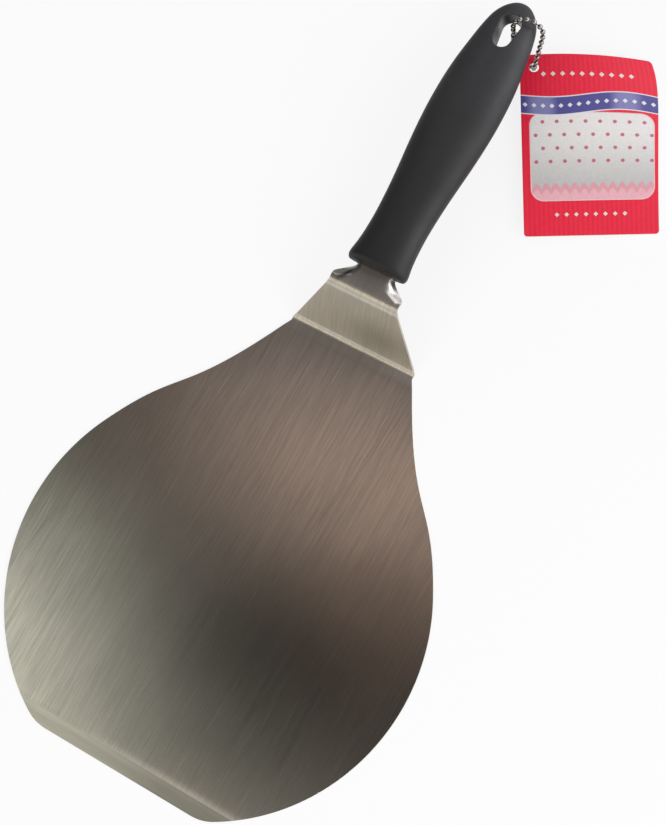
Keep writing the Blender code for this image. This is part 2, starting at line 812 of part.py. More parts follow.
def chain_connector(centres, material):
    """A slit sleeve with holed ends, round the first and the last bead."""
    last, first = centres[-1], centres[0]
    axis = (first - last).normalized()
    inside = BEAD_RADIUS + SLEEVE_GAP
    outside = inside + SLEEVE_WALL
    half_inside = (first - last).length / 2 + inside
    half_outside = half_inside + SLEEVE_WALL
    mouth = BEAD_HOLE_RADIUS
    side = axis.orthogonal().normalized()
    other = axis.cross(side)
    profile = (
        (mouth, -half_inside),
        (inside, -half_inside),
        (inside, half_inside),
        (mouth, half_inside),
        (mouth, half_outside),
        (outside, half_outside),
        (outside, -half_outside),
        (mouth, -half_outside),
    )
    bm = bmesh.new()
    loops = []
    for radius, along in profile:
        loop = []
        for i in range(SLEEVE_SIDES):
            angle = 2 * math.pi * (i + 0.5) / SLEEVE_SIDES
            spoke = side * math.cos(angle) + other * math.sin(angle)
            loop.append(bm.verts.new(axis * along + spoke * radius))
        loops.append(loop)
    for k, low in enumerate(loops):
        high = loops[(k + 1) % len(loops)]
        for i, vert in enumerate(low):
            following = (i + 1) % SLEEVE_SIDES
            bm.faces.new((vert, low[following], high[following], high[i]))
    sleeve = make_object("chain_connector", bm, material)
    sleeve.location = (first + last) / 2
    slit = bmesh.new()
    reach = outside + CUT_OVERRUN
    sized = Matrix.Diagonal((reach, SLEEVE_SLIT, 2 * (half_outside + CUT_OVERRUN), 1))
    turned = Matrix((side, other, axis)).transposed().to_4x4()
    place = Matrix.Translation(sleeve.location + side * reach / 2)
    bmesh.ops.create_cube(slit, size=1, matrix=place @ turned @ sized)
    cut_with(sleeve, make_guide(make_object("sleeve_slit_cutter", slit, None)))
    return sleeve


# The swing card


def card_outline():
    """The card's edge in its own plane: X to the right and Y up, from its lower left corner."""
    corners = (
        (Vector((0, 0)), CARD_CORNER_RADIUS, math.pi),
        (Vector((CARD_WIDTH, 0)), CARD_CORNER_RADIUS, 1.5 * math.pi),
        (Vector((CARD_WIDTH, CARD_LENGTH)), CARD_CORNER_RADIUS, 0),
        (Vector((0, CARD_LENGTH)), CARD_CORNER_RADIUS, math.pi / 2),
    )
    points = []
    for corner, radius, start in corners:
        middle = start + math.pi / 4
        inward = Vector((math.cos(middle), math.sin(middle))) * -radius * math.sqrt(2)
        points += arc_points(corner + inward, radius, start, start + math.pi / 2, CARD_CORNER_STEPS)
    return points


def card_lift(x, y):
    """How far the card lies off the table. Its right side rests and its left side is held up."""
    across = x / CARD_WIDTH
    up = y / CARD_LENGTH
    left = between(CARD_BOTTOM_LEFT_LIFT, CARD_TOP_LEFT_LIFT, up)
    bow = CARD_BOW * 4 * across * (1 - across) * up
    return between(left, CARD_FLOOR_GAP, across) + bow


def drooped(x, y):
    """How far up the card a place lies, with its upper right corner drawn down."""
    across = x / CARD_WIDTH
    up = y / CARD_LENGTH
    rising = max(up - DROOP_START_SHARE, 0) / (1 - DROOP_START_SHARE)
    return y - CARD_CORNER_DROOP * across**2 * rising


def hole_centre():
    return Vector((CARD_HOLE_FROM_SIDE, CARD_LENGTH - CARD_HOLE_FROM_TOP))


def held_point():
    """Where the chain runs through the hole, against its upper edge."""
    return hole_centre() + Vector((0, CARD_HOLE_RADIUS - BEAD_RADIUS - SEAT_GAP))


def add_loop(bm, points):
    verts = [bm.verts.new((p.x, p.y, 0)) for p in points]
    return [bm.edges.new((a, b)) for a, b in zip(verts, verts[1:] + verts[:1])]


def slice_across(bm, direction, length, steps):
    """Cuts rows into the flat card, so that it can bend."""
    for i in range(1, steps):
        everything = bm.verts[:] + bm.edges[:] + bm.faces[:]
        place = direction * length * i / steps
        bmesh.ops.bisect_plane(bm, geom=everything, plane_co=place, plane_no=direction)


def tag_card(thread, material):
    """The card, threaded on one bead, which lies against the upper edge of its hole."""
    bm = bmesh.new()
    rim = arc_points(hole_centre(), CARD_HOLE_RADIUS, 0, 2 * math.pi, CARD_HOLE_STEPS)
    edges = add_loop(bm, card_outline()) + add_loop(bm, rim[:-1])
    bmesh.ops.triangle_fill(bm, edges=edges, use_beauty=True)
    slice_across(bm, Vector((0, 1, 0)), CARD_LENGTH, CARD_ROWS)
    slice_across(bm, Vector((1, 0, 0)), CARD_WIDTH, CARD_COLUMNS)
    raised = bmesh.ops.extrude_face_region(bm, geom=bm.faces[:])
    top = [item for item in raised["geom"] if isinstance(item, bmesh.types.BMVert)]
    bmesh.ops.translate(bm, verts=top, vec=(0, 0, CARD_THICKNESS))
    for vert in bm.verts:
        vert.co.z += card_lift(vert.co.x, vert.co.y) - thread.z
        vert.co.y = drooped(vert.co.x, vert.co.y)
    held = held_point()
    held = Vector((held.x, drooped(*held), 0))
    bmesh.ops.translate(bm, verts=bm.verts, vec=-held)
    bmesh.ops.rotate(bm, verts=bm.verts, cent=(0, 0, 0), matrix=Matrix.Rotation(CARD_TURN, 3, "Z"))
    card = make_object("tag_card", bm, material)
    card.location = thread
    return card


def card_normal():
    """Square to the card where the chain holds it."""
    held = held_point()
    across = (card_lift(held.x + CARD_THICKNESS, held.y) - card_lift(*held)) / CARD_THICKNESS
    up = (card_lift(held.x, held.y + CARD_THICKNESS) - card_lift(*held)) / CARD_THICKNESS
    return Matrix.Rotation(CARD_TURN, 3, "Z") @ Vector((-across, -up, 1)).normalized()


# Bodies and their pivots


def nearest_bead(centres, candidates, height):
    return min(candidates, key=lambda i: abs(centres[i].z - height))


def chain_split(centres):
    """Which beads the loop folds at: upper and lower, on the outer and on the inner strand."""
    count = len(centres)
    top = max(range(count), key=lambda i: centres[i].z)
    bottom = min(range(count), key=lambda i: centres[i].z)
    outer = range(top + 1, bottom)
    inner_below = range(bottom + 1, count)
    return {
        "upper_outer": nearest_bead(centres, outer, UPPER_FOLD_HEIGHT),
        "upper_inner": 1,
        "lower_outer": nearest_bead(centres, outer, LOWER_FOLD_HEIGHT),
        "lower_inner": nearest_bead(centres, inner_below, LOWER_FOLD_HEIGHT),
        "thread": min(outer, key=lambda i: (centres[i] - thread_place()).length),
    }


def make_pivot(name, place, parent=None):
    pivot = bpy.data.objects.new(name, None)
    bpy.context.scene.collection.objects.link(pivot)
    pivot.location = place
    hang_on(pivot, parent)
    return pivot


def hang_on(obj, pivot):
    """Parents a piece to a pivot and keeps it where it is."""
    if not pivot:
        return
    offset = Vector(pivot.location)
    above = pivot.parent
    while above:
        offset += above.location
        above = above.parent
    obj.parent = pivot
    obj.location = Vector(obj.location) - offset


def main():
    clear_scene()
    steel = finish_material("brushed_steel", (0.42, 0.40, 0.37), 0.34, 1.0)
    moulding = finish_material("black_moulding", (0.022, 0.022, 0.024), 0.55, 0.0)
    bead_metal = finish_material("bead_metal", (0.62, 0.60, 0.56), 0.18, 1.0)
    card_stock = finish_material("card_stock", (0.74, 0.03, 0.07), 0.42, 0.0)

    blade = blade_sheet(steel)
    cut_key_holes(blade)
    handle_grip(moulding)

    centres = bead_centres()
    split = chain_split(centres)
    links = chain_links(centres, bead_metal)
    connector = chain_connector(centres, bead_metal)
    thread = centres[split["thread"]]
    card = tag_card(thread, card_stock)

    upper = make_pivot("upper_fold", centres[split["upper_outer"]])
    lower = make_pivot("lower_fold", centres[split["lower_outer"]], upper)
    turn = make_pivot("card_turn", thread, lower)
    for i, link in enumerate(links):
        if split["lower_outer"] <= i < split["lower_inner"]:
            hang_on(link, lower)
        elif i >= split["upper_outer"] or i < split["upper_inner"]:
            hang_on(link, upper)
    hang_on(connector, upper)
    hang_on(card, turn)


main()
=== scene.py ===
"""Looks of a cake lifter with a cranked round blade, a moulded handle and a card on a bead chain.

Units are metres and +Z is up. The origin is the centre of the round blade, on its underside.
+Y runs from the blade to the tip of the handle, and +X is to the right.
"""

import json
import math

import bmesh
import bpy
from bpy.props import FloatProperty, FloatVectorProperty, IntProperty, PointerProperty
from bpy.types import Operator, Panel, PropertyGroup
from mathutils import Matrix, Vector

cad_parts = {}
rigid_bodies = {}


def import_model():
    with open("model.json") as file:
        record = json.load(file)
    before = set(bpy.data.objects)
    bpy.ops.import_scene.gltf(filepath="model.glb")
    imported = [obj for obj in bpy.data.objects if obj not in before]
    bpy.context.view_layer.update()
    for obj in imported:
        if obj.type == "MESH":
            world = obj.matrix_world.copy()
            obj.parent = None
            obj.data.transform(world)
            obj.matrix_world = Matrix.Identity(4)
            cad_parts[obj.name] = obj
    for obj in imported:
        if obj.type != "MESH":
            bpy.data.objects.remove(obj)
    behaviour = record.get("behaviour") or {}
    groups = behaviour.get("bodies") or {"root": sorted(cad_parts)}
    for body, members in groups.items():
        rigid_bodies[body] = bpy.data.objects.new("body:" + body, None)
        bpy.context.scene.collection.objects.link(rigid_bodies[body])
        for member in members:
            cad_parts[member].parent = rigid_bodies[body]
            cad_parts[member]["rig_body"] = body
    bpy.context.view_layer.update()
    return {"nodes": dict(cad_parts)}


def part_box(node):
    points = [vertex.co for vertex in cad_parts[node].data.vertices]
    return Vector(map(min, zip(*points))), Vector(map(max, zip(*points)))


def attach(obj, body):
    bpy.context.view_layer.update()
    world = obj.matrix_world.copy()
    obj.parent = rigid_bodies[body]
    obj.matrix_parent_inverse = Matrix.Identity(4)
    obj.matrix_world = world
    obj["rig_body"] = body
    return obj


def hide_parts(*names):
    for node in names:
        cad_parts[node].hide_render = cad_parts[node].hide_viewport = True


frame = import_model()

bl_info = {
    "name": "Cake lifter",
    "version": (1, 0, 0),
    "blender": (4, 5, 0),
    "location": "3D View > Sidebar > Lifter",
    "description": "Builds the finish of a cake lifter round its packed frame",
    "category": "Object",
}

MM = 0.001

# Blade, seen from above
BLADE_RADIUS = 95.0 * MM
FRONT_SETBACK = 85.0 * MM
FRONT_CORNER_RADIUS = 20.0 * MM
FLANK_LEAVE_ANGLE = math.radians(27.5)
FLANK_END_ANGLE = math.radians(27.3)
FLANK_PULL_LOW = 44.2 * MM
FLANK_PULL_HIGH = 63.5 * MM
SHEET = 1.0 * MM
GROUND_WIDTH = 6.8 * MM
GROUND_EDGE = 0.35 * MM
GROUND_END = 2.6 * GROUND_WIDTH - FRONT_SETBACK

# Crank and neck
LOWER_BEND_Y = 126.3 * MM
LOWER_BEND_HALF_WIDTH = 30.7 * MM
RISER_RUN = 15.7 * MM
RISER_RISE = 27.4 * MM
UPPER_BEND_Y = LOWER_BEND_Y + RISER_RUN
UPPER_BEND_HALF_WIDTH = 16.7 * MM
BEND_RADIUS = 4.5 * MM
WEB_NARROWING = (0.4 * MM, 6.0 * MM)
WEB_HALF_WIDTH = 6.8 * MM
EDGE_NARROWING = (3.2 * MM, 8.5 * MM)
NECK_HALF_WIDTH = 8.6 * MM
FLANGE_TURN = (1.4 * MM, 5.0 * MM)
FLANGE_DROP = 2.1 * MM
HANDLE_FRONT = UPPER_BEND_Y + 12.0 * MM
TANG_END = HANDLE_FRONT + 62.0 * MM
TANG_HALF_WIDTH = 7.0 * MM
FLANGE_FADE = (4.0 * MM, 16.0 * MM)
TANG_END_ROUND = 5.0 * MM
RISER_ANGLE = math.atan2(RISER_RISE, RISER_RUN)
BEND_TANGENT = BEND_RADIUS * math.tan(RISER_ANGLE / 2)

# Handle
HANDLE_LENGTH = 136.1 * MM
HANDLE_TIP = HANDLE_FRONT + HANDLE_LENGTH
HANDLE_HALF_WIDTH = 16.25 * MM
HANDLE_HALF_THICKNESS = 7.6 * MM
HANDLE_FRONT_HEIGHT = 28.4 * MM
HANDLE_TIP_DROP = 0.9 * MM
HANDLE_SQUARENESS = 2.5
RIM_DEPTH = 2.6 * MM
RIM_SIDE_INSET = 1.2 * MM
RIM_TOP_INSET = 4.6 * MM
WIDTH_STATIONS = (
    (0.000, 0.868), (0.022, 0.868), (0.059, 0.819), (0.096, 0.790), (0.154, 0.774),
    (0.206, 0.783), (0.279, 0.817), (0.353, 0.870), (0.426, 0.929), (0.507, 0.978),
    (0.580, 1.000), (0.669, 0.988), (0.742, 0.940), (0.816, 0.855), (0.874, 0.775),
    (0.926, 0.669), (0.957, 0.540), (1.000, 0.000),
)
THICKNESS_STATIONS = (
    (0.00, 0.92), (0.20, 0.92), (0.45, 1.00), (0.65, 0.95), (0.80, 0.78),
    (0.90, 0.67), (0.96, 0.52), (0.985, 0.37), (1.00, 0.00),
)
SLOT_WIDE_RADIUS = 4.8 * MM
SLOT_NARROW_RADIUS = 3.8 * MM
SLOT_WIDE_Y = HANDLE_TIP - 12.4 * MM
SLOT_NARROW_Y = SLOT_WIDE_Y - 8.2 * MM
SLOT_DRAFT = 0.5 * MM

# Bead chain
BEAD_RADIUS = 1.2 * MM
BEAD_HOLE_RADIUS = 0.64 * MM
PIN_RADIUS = 0.25 * MM
BEAD_COUNT = 25

# Card: its flat size, how far its corners lift, and where the chain holds it
CARD_WIDTH = 58.5 * MM
CARD_LENGTH = 84.6 * MM
CARD_THICKNESS = 0.5 * MM
CARD_CORNER_RADIUS = 1.5 * MM
CARD_CORNER_DROOP = 3.7 * MM
DROOP_START = 0.35
CARD_HOLE_RADIUS = 2.5 * MM
CARD_HOLE = (6.6 * MM, CARD_LENGTH - 6.4 * MM)
CARD_HELD = (CARD_HOLE[0], CARD_HOLE[1] + CARD_HOLE_RADIUS - BEAD_RADIUS - 0.3 * MM)
CARD_TURN = math.radians(29.0)
CARD_FLOOR_GAP = 0.15 * MM
CARD_TOP_LEFT_LIFT = 7.6 * MM
CARD_BOTTOM_LEFT_LIFT = 5.2 * MM
CARD_BOW = 2.5 * MM

# Soft glows overhead: centre, reach along and across, turn in degrees, colour
GLOWS = (
    ((-0.496, -0.210), (0.213, 0.100), -55.6, (1.84, 1.85, 1.62)),
    ((-0.154, 0.185), (0.256, 0.100), 5.4, (0.62, 0.44, 0.355)),
    ((-0.284, 0.260), (0.199, 0.126), 0, (0.186, 0.194, 0.201)),
    ((-0.316, -0.513), (0.284, 0.100), 40.5, (2.6, 2.4, 2.1)),
    ((-0.640, -0.810), (0.500, 0.190), 0, (1.9, 1.78, 1.56)),
)
THREAD_NODE = "chain_link_17"


# Sizes and colours that a user would change


def colour_property(name, description, default):
    return FloatVectorProperty(
        name=name, description=description, default=default, size=3, min=0, max=1, subtype="COLOR"
    )


def length_property(name, description, default):
    return FloatProperty(
        name=name, description=description, default=default, min=0, unit="LENGTH", precision=5
    )


class LifterBladeLooks(PropertyGroup):
    edge_rounding: length_property("Edge rounding", "Radius worn onto the sheet's edges", 0.16 * MM)
    steel: colour_property("Steel", "Colour of the clean steel", (0.58, 0.56, 0.52))
    # Colour of the warm reflections painted into the steel.
    warm_reflection_colour: colour_property("Warm steel", "Colour where the steel is stained", (0.56, 0.49, 0.43))
    brush_pitch: length_property("Brush pitch", "Usual width of one brush line", 0.35 * MM)
    brush_depth: length_property("Brush depth", "Depth of the brush lines", 0.004 * MM)
    anisotropy: FloatProperty(
        name="Stretch of the gloss", description="How far the brushing stretches reflections",
        default=0.5, min=0, max=1, subtype="FACTOR",
    )


class LifterHandleLooks(PropertyGroup):
    moulding: colour_property("Moulding", "Colour of the handle's plastic", (0.0155, 0.016, 0.0175))
    grain_size: length_property("Grain size", "Size of the moulded grain", 0.45 * MM)
    grain_depth: length_property("Grain depth", "Depth of the moulded grain", 0.018 * MM)
    slot_rounding: length_property("Slot rounding", "Radius of the slot's rims", 0.55 * MM)
    seam_height: length_property("Seam height", "Height of the mould's parting line", 0.06 * MM)


class LifterChainLooks(PropertyGroup):
    plating: colour_property("Plating", "Colour of the plated beads", (0.31, 0.30, 0.285))
    # Colour of tarnished spots, and of the painted shade in the beads' holes and along their pins.
    tarnish_and_painted_shade: colour_property("Tarnish", "Colour where the plating has dulled", (0.10, 0.09, 0.08))
    sides: IntProperty(name="Sides", description="Sides round each bead", default=28, min=8, max=64)


class LifterCardLooks(PropertyGroup):
    ground: colour_property("Ground", "Main colour of the print", (0.88, 0.010, 0.050))
    stripe: colour_property("Stripe", "Colour of the fine stripes", (0.79, 0.008, 0.040))
    panel: colour_property("Panel", "Colour of the pale panel", (0.80, 0.77, 0.77))
    band: colour_property("Band", "Colour of the band", (0.085, 0.075, 0.30))
    dot: colour_property("Dot", "Colour of the dots", (0.52, 0.045, 0.07))
    scallop: colour_property("Scallop", "Colour of the scalloped foot", (0.76, 0.36, 0.41))
    stripe_pitch: length_property("Stripe pitch", "Width of one stripe and its space", 2.1 * MM)


class LifterStageLooks(PropertyGroup):
    floor: colour_property("Floor", "Colour of the floor", (0.93, 0.93, 0.93))
    ceiling: colour_property("Ceiling", "Tone of the dark card overhead", (0.004, 0.004, 0.004))
    lens: FloatProperty(
        name="Lens", description="Focal length for a 36 mm long side", default=70.95, min=10,
        unit="CAMERA",
    )


# Small helps


def between(low, high, share):
    return low + (high - low) * share


def ease(share):
    """A share from 0 to 1 with level ends."""
    share = min(max(share, 0), 1)
    return share * share * (3 - 2 * share)


def eased_along(y, start, length, low, high):
    return between(low, high, ease((y - start) / length))


def arc_points(centre, radius, start, end, steps):
    angles = [between(start, end, i / steps) for i in range(steps + 1)]
    return [centre + Vector((math.cos(a), math.sin(a))) * radius for a in angles]


def station_value(stations, share):
    """A smooth value between stations. It is read on squares, so that a zero end closes round."""
    last = len(stations) - 1
    i = 0
    while i < last - 1 and share > stations[i + 1][0]:
        i += 1
    window = [stations[min(max(k, 0), last)] for k in range(i - 1, i + 3)]
    before, low, high, after = [Vector((place, value * value)) for place, value in window]
    span = high.x - low.x
    slope_low = (high.y - before.y) / (high.x - before.x)
    slope_high = (after.y - low.y) / (after.x - low.x)
    t = (share - low.x) / span
    square = (
        low.y * (1 + 2 * t) * (1 - t) ** 2
        + slope_low * span * t * (1 - t) ** 2
        + high.y * t * t * (3 - 2 * t)
        - slope_high * span * t * t * (1 - t)
    )
    return math.sqrt(max(square, 0))


def new_piece(name, bm, materials, sharp_angle=math.radians(40)):
    """A smooth-shaded object from a mesh, with one slot for each material."""
    bmesh.ops.recalc_face_normals(bm, faces=bm.faces)
    mesh = bpy.data.meshes.new(name)
    bm.to_mesh(mesh)
    bm.free()
    mesh.shade_smooth()
    mesh.set_sharp_from_angle(angle=sharp_angle)
    for material in materials:
        mesh.materials.append(material)
    piece = bpy.data.objects.new(name, mesh)
    bpy.context.scene.collection.objects.link(piece)
    return piece


def skin_rings(bm, rings, start_pole=None, end_pole=None):
    """Joins rings of points into a closed skin, with a fan to each pole or a flat end."""
    loops = [[bm.verts.new(p) for p in ring] for ring in rings]
    for low, high in zip(loops, loops[1:]):
        for i, vert in enumerate(low):
            following = (i + 1) % len(low)
            bm.faces.new((vert, low[following], high[following], high[i]))
    for loop, pole in ((loops[0], start_pole), (loops[-1], end_pole)):
        if pole is None:
            bm.faces.new(loop)
            continue
        tip = bm.verts.new(pole)
        for i, vert in enumerate(loop):
            bm.faces.new((vert, loop[(i + 1) % len(loop)], tip))


def cut_and_keep(piece, cutter):
    """Cuts the piece once and for all, and removes the cutter."""
    cut = piece.modifiers.new("cut", "BOOLEAN")
    cut.operation = "DIFFERENCE"
    cut.solver = "EXACT"
    cut.object = cutter
    settle(piece)
    bpy.data.objects.remove(cutter)


def settle(piece):
    """Turns what the modifiers show into the piece's own mesh."""
    evaluated = piece.evaluated_get(bpy.context.evaluated_depsgraph_get())
    mesh = bpy.data.meshes.new_from_object(evaluated)
    piece.modifiers.clear()
    mesh.name = piece.data.name
    piece.data = mesh


def stand_for(piece, node):
    """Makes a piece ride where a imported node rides, in its place."""
    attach(piece, frame["nodes"][node]["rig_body"])
    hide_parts(node)


def check_place(piece, node, reach):
    """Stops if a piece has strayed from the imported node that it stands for."""
    bpy.context.view_layer.update()
    low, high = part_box(node)
    points = [piece.matrix_world @ v.co for v in piece.data.vertices]
    for axis in range(3):
        places = [p[axis] for p in points]
        if min(places) < low[axis] - reach or max(places) > high[axis] + reach:
            raise RuntimeError(f"{piece.name} has strayed from {node}")


# Materials


def new_material(name):
    material = bpy.data.materials.new(name)
    material.use_nodes = True
    return material, material.node_tree, material.node_tree.nodes["Principled BSDF"]


def add_node(tree, kind, inputs=None, **settings):
    """Adds a node. Each input is a plain value, or another node's output to join to it."""
    node = tree.nodes.new("ShaderNode" + kind)
    for name, value in settings.items():
        setattr(node, name, value)
    for key, value in (inputs or {}).items():
        if isinstance(value, bpy.types.NodeSocket):
            tree.links.new(value, node.inputs[key])
        else:
            node.inputs[key].default_value = value
    return node


def calc(tree, operation, *values):
    """The result of one sum on shader values."""
    node = add_node(tree, "Math", dict(enumerate(values)), operation=operation)
    return node.outputs[0]


def remap(tree, value, low, high, to_low=0.0, to_high=1.0, smooth=True):
    inputs = {"Value": value, "From Min": low, "From Max": high, "To Min": to_low, "To Max": to_high}
    kind = "SMOOTHSTEP" if smooth else "LINEAR"
    return add_node(tree, "MapRange", inputs, interpolation_type=kind).outputs[0]


def mix_colours(tree, share, low, high):
    def full(colour):
        return colour if isinstance(colour, bpy.types.NodeSocket) else (*colour, 1)

    inputs = {0: share, 6: full(low), 7: full(high)}
    return add_node(tree, "Mix", inputs, data_type="RGBA").outputs[2]


def object_places(tree):
    """A point's place on the piece, whole and as its three parts."""
    place = add_node(tree, "TexCoord").outputs["Object"]
    parts = add_node(tree, "SeparateXYZ", {0: place}).outputs
    return place, parts[0], parts[1], parts[2]


def stretched(tree, place, scale):
    """Places scaled for a noise, and shifted so that no flat face lies on its grid."""
    inputs = {"Vector": place, "Location": (0.37, 0.41, 0.43), "Scale": scale}
    return add_node(tree, "Mapping", inputs).outputs[0]


def noise(tree, place, detail=2.0, roughness=0.5, scale=1.0):
    inputs = {"Vector": place, "Scale": scale, "Detail": detail, "Roughness": roughness}
    return add_node(tree, "TexNoise", inputs).outputs[0]


def soft_patch(tree, place, centre, reach):
    """1 at the centre of an oval patch, fading to 0 at its reach."""
    moved = add_node(tree, "VectorMath", {0: place, 1: centre}, operation="SUBTRACT").outputs[0]
    inputs = {0: moved, 1: [1 / r for r in reach]}
    scaled = add_node(tree, "VectorMath", inputs, operation="MULTIPLY").outputs[0]
    far = add_node(tree, "VectorMath", {0: scaled}, operation="LENGTH").outputs["Value"]
    return remap(tree, far, 1.0, 0.0)


def soft_glow(tree, place, centre, reach, turn):
    """A glow that fades evenly from its centre in every direction."""
    inputs = {"Vector": place, "Location": (*centre, 0), "Rotation": (0, 0, turn), "Scale": (*reach, 1)}
    local = add_node(tree, "Mapping", inputs, vector_type="TEXTURE").outputs[0]
    square = add_node(tree, "VectorMath", {0: local, 1: local}, operation="DOT_PRODUCT").outputs["Value"]
    return calc(tree, "EXPONENT", calc(tree, "MULTIPLY", square, -1.0))


def bump(tree, height, depth, below=None):
    inputs = {"Height": height, "Strength": 1.0, "Distance": depth}
    if below:
        inputs["Normal"] = below
    return add_node(tree, "Bump", inputs).outputs[0]


def brushed_steel():
    """Sheet steel brushed along its length, with fine stray scratches, and with warm reflections, highlights and
    shade painted into its colour.
    """
    looks = bpy.context.scene.lifter_blade_looks
    material, tree, shader = new_material("brushed_steel")
    place, across, along, up = object_places(tree)
    pitch = 1 / looks.brush_pitch
    fine = noise(tree, stretched(tree, place, (pitch, pitch / 50, pitch / 50)), 3.0, 0.65)
    broad = noise(tree, stretched(tree, place, (pitch / 2.3, pitch / 70, pitch / 70)), 3.0, 0.6)
    cloud = noise(tree, stretched(tree, place, (16, 11, 11)), 4.0, 0.6)
    lines = calc(tree, "ADD", calc(tree, "MULTIPLY", fine, 0.3), calc(tree, "MULTIPLY", broad, 0.7))
    slightly_turned = add_node(tree, "Mapping", {"Vector": place, "Rotation": (0, 0, 0.09)}).outputs[0]
    stray = noise(tree, stretched(tree, slightly_turned, (pitch / 1.8, pitch / 70, 1)), 1.0, 0.5)
    pale = remap(tree, stray, 0.64, 0.74)
    dark = remap(tree, stray, 0.38, 0.28)
    scratches = calc(tree, "SUBTRACT", pale, dark)
    patches = remap(tree, noise(tree, stretched(tree, place, (30, 22, 22)), 2.0, 0.5), 0.42, 0.62)
    scratches = calc(tree, "MULTIPLY", scratches, patches)
    pressed = remap(tree, along, 116 * MM, 123 * MM)

    # Painted reflection: warm tones painted into the colour on the blade's right and near the lower bend.
    warm_reflection_right = soft_patch(tree, place, (0.066, 0.012, 0), (0.060, 0.070, 1))
    warm_reflection_upper = soft_patch(tree, place, (0.018, 0.098, 0), (0.095, 0.075, 1))
    painted_warm_reflection = calc(tree, "MAXIMUM", warm_reflection_right, calc(tree, "MULTIPLY", warm_reflection_upper, 0.6))
    painted_warm_reflection = calc(tree, "MULTIPLY", painted_warm_reflection, remap(tree, cloud, 0.25, 0.75, 0.35, 1.0))
    colour = mix_colours(tree, painted_warm_reflection, looks.steel, looks.warm_reflection_colour)
    tone = calc(tree, "MULTIPLY", remap(tree, lines, 0.40, 0.60, 0.92, 1.06, smooth=False),
                remap(tree, cloud, 0.25, 0.75, 0.88, 1.08))
    tone = calc(tree, "ADD", tone, calc(tree, "MULTIPLY", scratches, 0.13))
    # Painted shade on the neck's left turned-down flank, and a painted dark line along its crease with the web.
    painted_flank_shade = soft_patch(tree, place, (-0.0152, 0.1485, 0.027), (0.0070, 0.0070, 0.014))
    painted_crease_shade = soft_glow(tree, place, (-0.0103, 0.1483), (0.0052, 0.0011), math.radians(57))
    wear_and_painted_light = calc(tree, "ADD", calc(tree, "MULTIPLY", painted_flank_shade, -0.7), calc(tree, "MULTIPLY", painted_crease_shade, -0.75))
    # Painted shade on the right of the riser.
    riser_painted_shade = soft_patch(tree, place, (0.013, 0.1305, 0.012), (0.026, 0.0095, 0.02))
    wear_and_painted_light = calc(tree, "ADD", wear_and_painted_light, calc(tree, "MULTIPLY", riser_painted_shade, -0.32))
    # Painted shade on the neck's web near the handle and on the blade's right middle, and a painted highlight on
    # the blade's left.
    for centre, reach, change in (((0.000, 0.1495, 0.028), (0.013, 0.008, 0.01), -0.22),
                                  ((0.036, -0.010, 0.0), (0.052, 0.040, 1), -0.25),
                                  ((-0.055, -0.004, 0.0), (0.045, 0.042, 1), 0.14)):
        painted_patch = soft_patch(tree, place, centre, reach)
        wear_and_painted_light = calc(tree, "ADD", wear_and_painted_light, calc(tree, "MULTIPLY", painted_patch, change))
    # Painted highlight along the crest of the ground front edge, on its left.
    painted_front_highlight = soft_patch(tree, place, (-0.062, GROUND_WIDTH - FRONT_SETBACK + 1.0 * MM, 0),
                            (0.040, 0.0034, 1))
    wear_and_painted_light = calc(tree, "ADD", wear_and_painted_light, calc(tree, "MULTIPLY", painted_front_highlight, 0.35))
    tone = calc(tree, "MULTIPLY", tone, calc(tree, "ADD", wear_and_painted_light, 1.0))
    colour = add_node(tree, "VectorMath", {0: colour, "Scale": tone}, operation="SCALE").outputs[0]

    tree.links.new(colour, shader.inputs["Base Color"])
    shader.inputs["Metallic"].default_value = 1.0
    rough = remap(tree, lines, 0.25, 0.75, 0.24, 0.18, smooth=False)
    near_front = remap(tree, along, GROUND_WIDTH - FRONT_SETBACK + 4 * MM, GROUND_WIDTH - FRONT_SETBACK)
    worked = calc(tree, "MAXIMUM", pressed, calc(tree, "MULTIPLY", near_front, 0.7))
    rough = calc(tree, "ADD", rough, calc(tree, "MULTIPLY", worked, 0.15))
    tree.links.new(rough, shader.inputs["Roughness"])
    shader.inputs["Anisotropic"].default_value = looks.anisotropy
    tangent = add_node(tree, "Tangent", direction_type="UV_MAP", uv_map="brushing").outputs[0]
    tree.links.new(tangent, shader.inputs["Tangent"])
    lumps = noise(tree, stretched(tree, place, (22, 12, 12)), 1.0, 0.4)
    bent = bump(tree, lumps, 0.00025)
    scored = calc(tree, "SUBTRACT", lines, calc(tree, "MULTIPLY", scratches, 0.5))
    tree.links.new(bump(tree, scored, looks.brush_depth, bent), shader.inputs["Normal"])
    return material


def ground_steel():
    """The front edge, ground across its width, so that its lines run from side to side."""
    looks = bpy.context.scene.lifter_blade_looks
    material, tree, shader = new_material("ground_steel")
    place, across, along, up = object_places(tree)
    pitch = 1 / looks.brush_pitch
    lines = noise(tree, stretched(tree, place, (pitch / 60, pitch, pitch)), 3.0, 0.6)
    tone = remap(tree, lines, 0.3, 0.7, 0.95, 1.04, smooth=False)
    # Painted shade deepening across the ground strip towards the right, and a painted highlight along its crest.
    tone = calc(tree, "MULTIPLY", tone, remap(tree, across, -0.045, 0.02, 0.74, 0.40, smooth=False))
    crest = remap(tree, along, GROUND_WIDTH - FRONT_SETBACK - 3.2 * MM, GROUND_WIDTH - FRONT_SETBACK)
    tone = calc(tree, "MULTIPLY", tone, remap(tree, crest, 0.0, 1.0, 1.0, 1.35, smooth=False))
    inputs = {0: (0.56, 0.57, 0.52), "Scale": tone}
    colour = add_node(tree, "VectorMath", inputs, operation="SCALE").outputs[0]
    tree.links.new(colour, shader.inputs["Base Color"])
    shader.inputs["Metallic"].default_value = 1.0
    tree.links.new(remap(tree, lines, 0.3, 0.7, 0.33, 0.28), shader.inputs["Roughness"])
    tree.links.new(bump(tree, lines, looks.brush_depth), shader.inputs["Normal"])
    return material


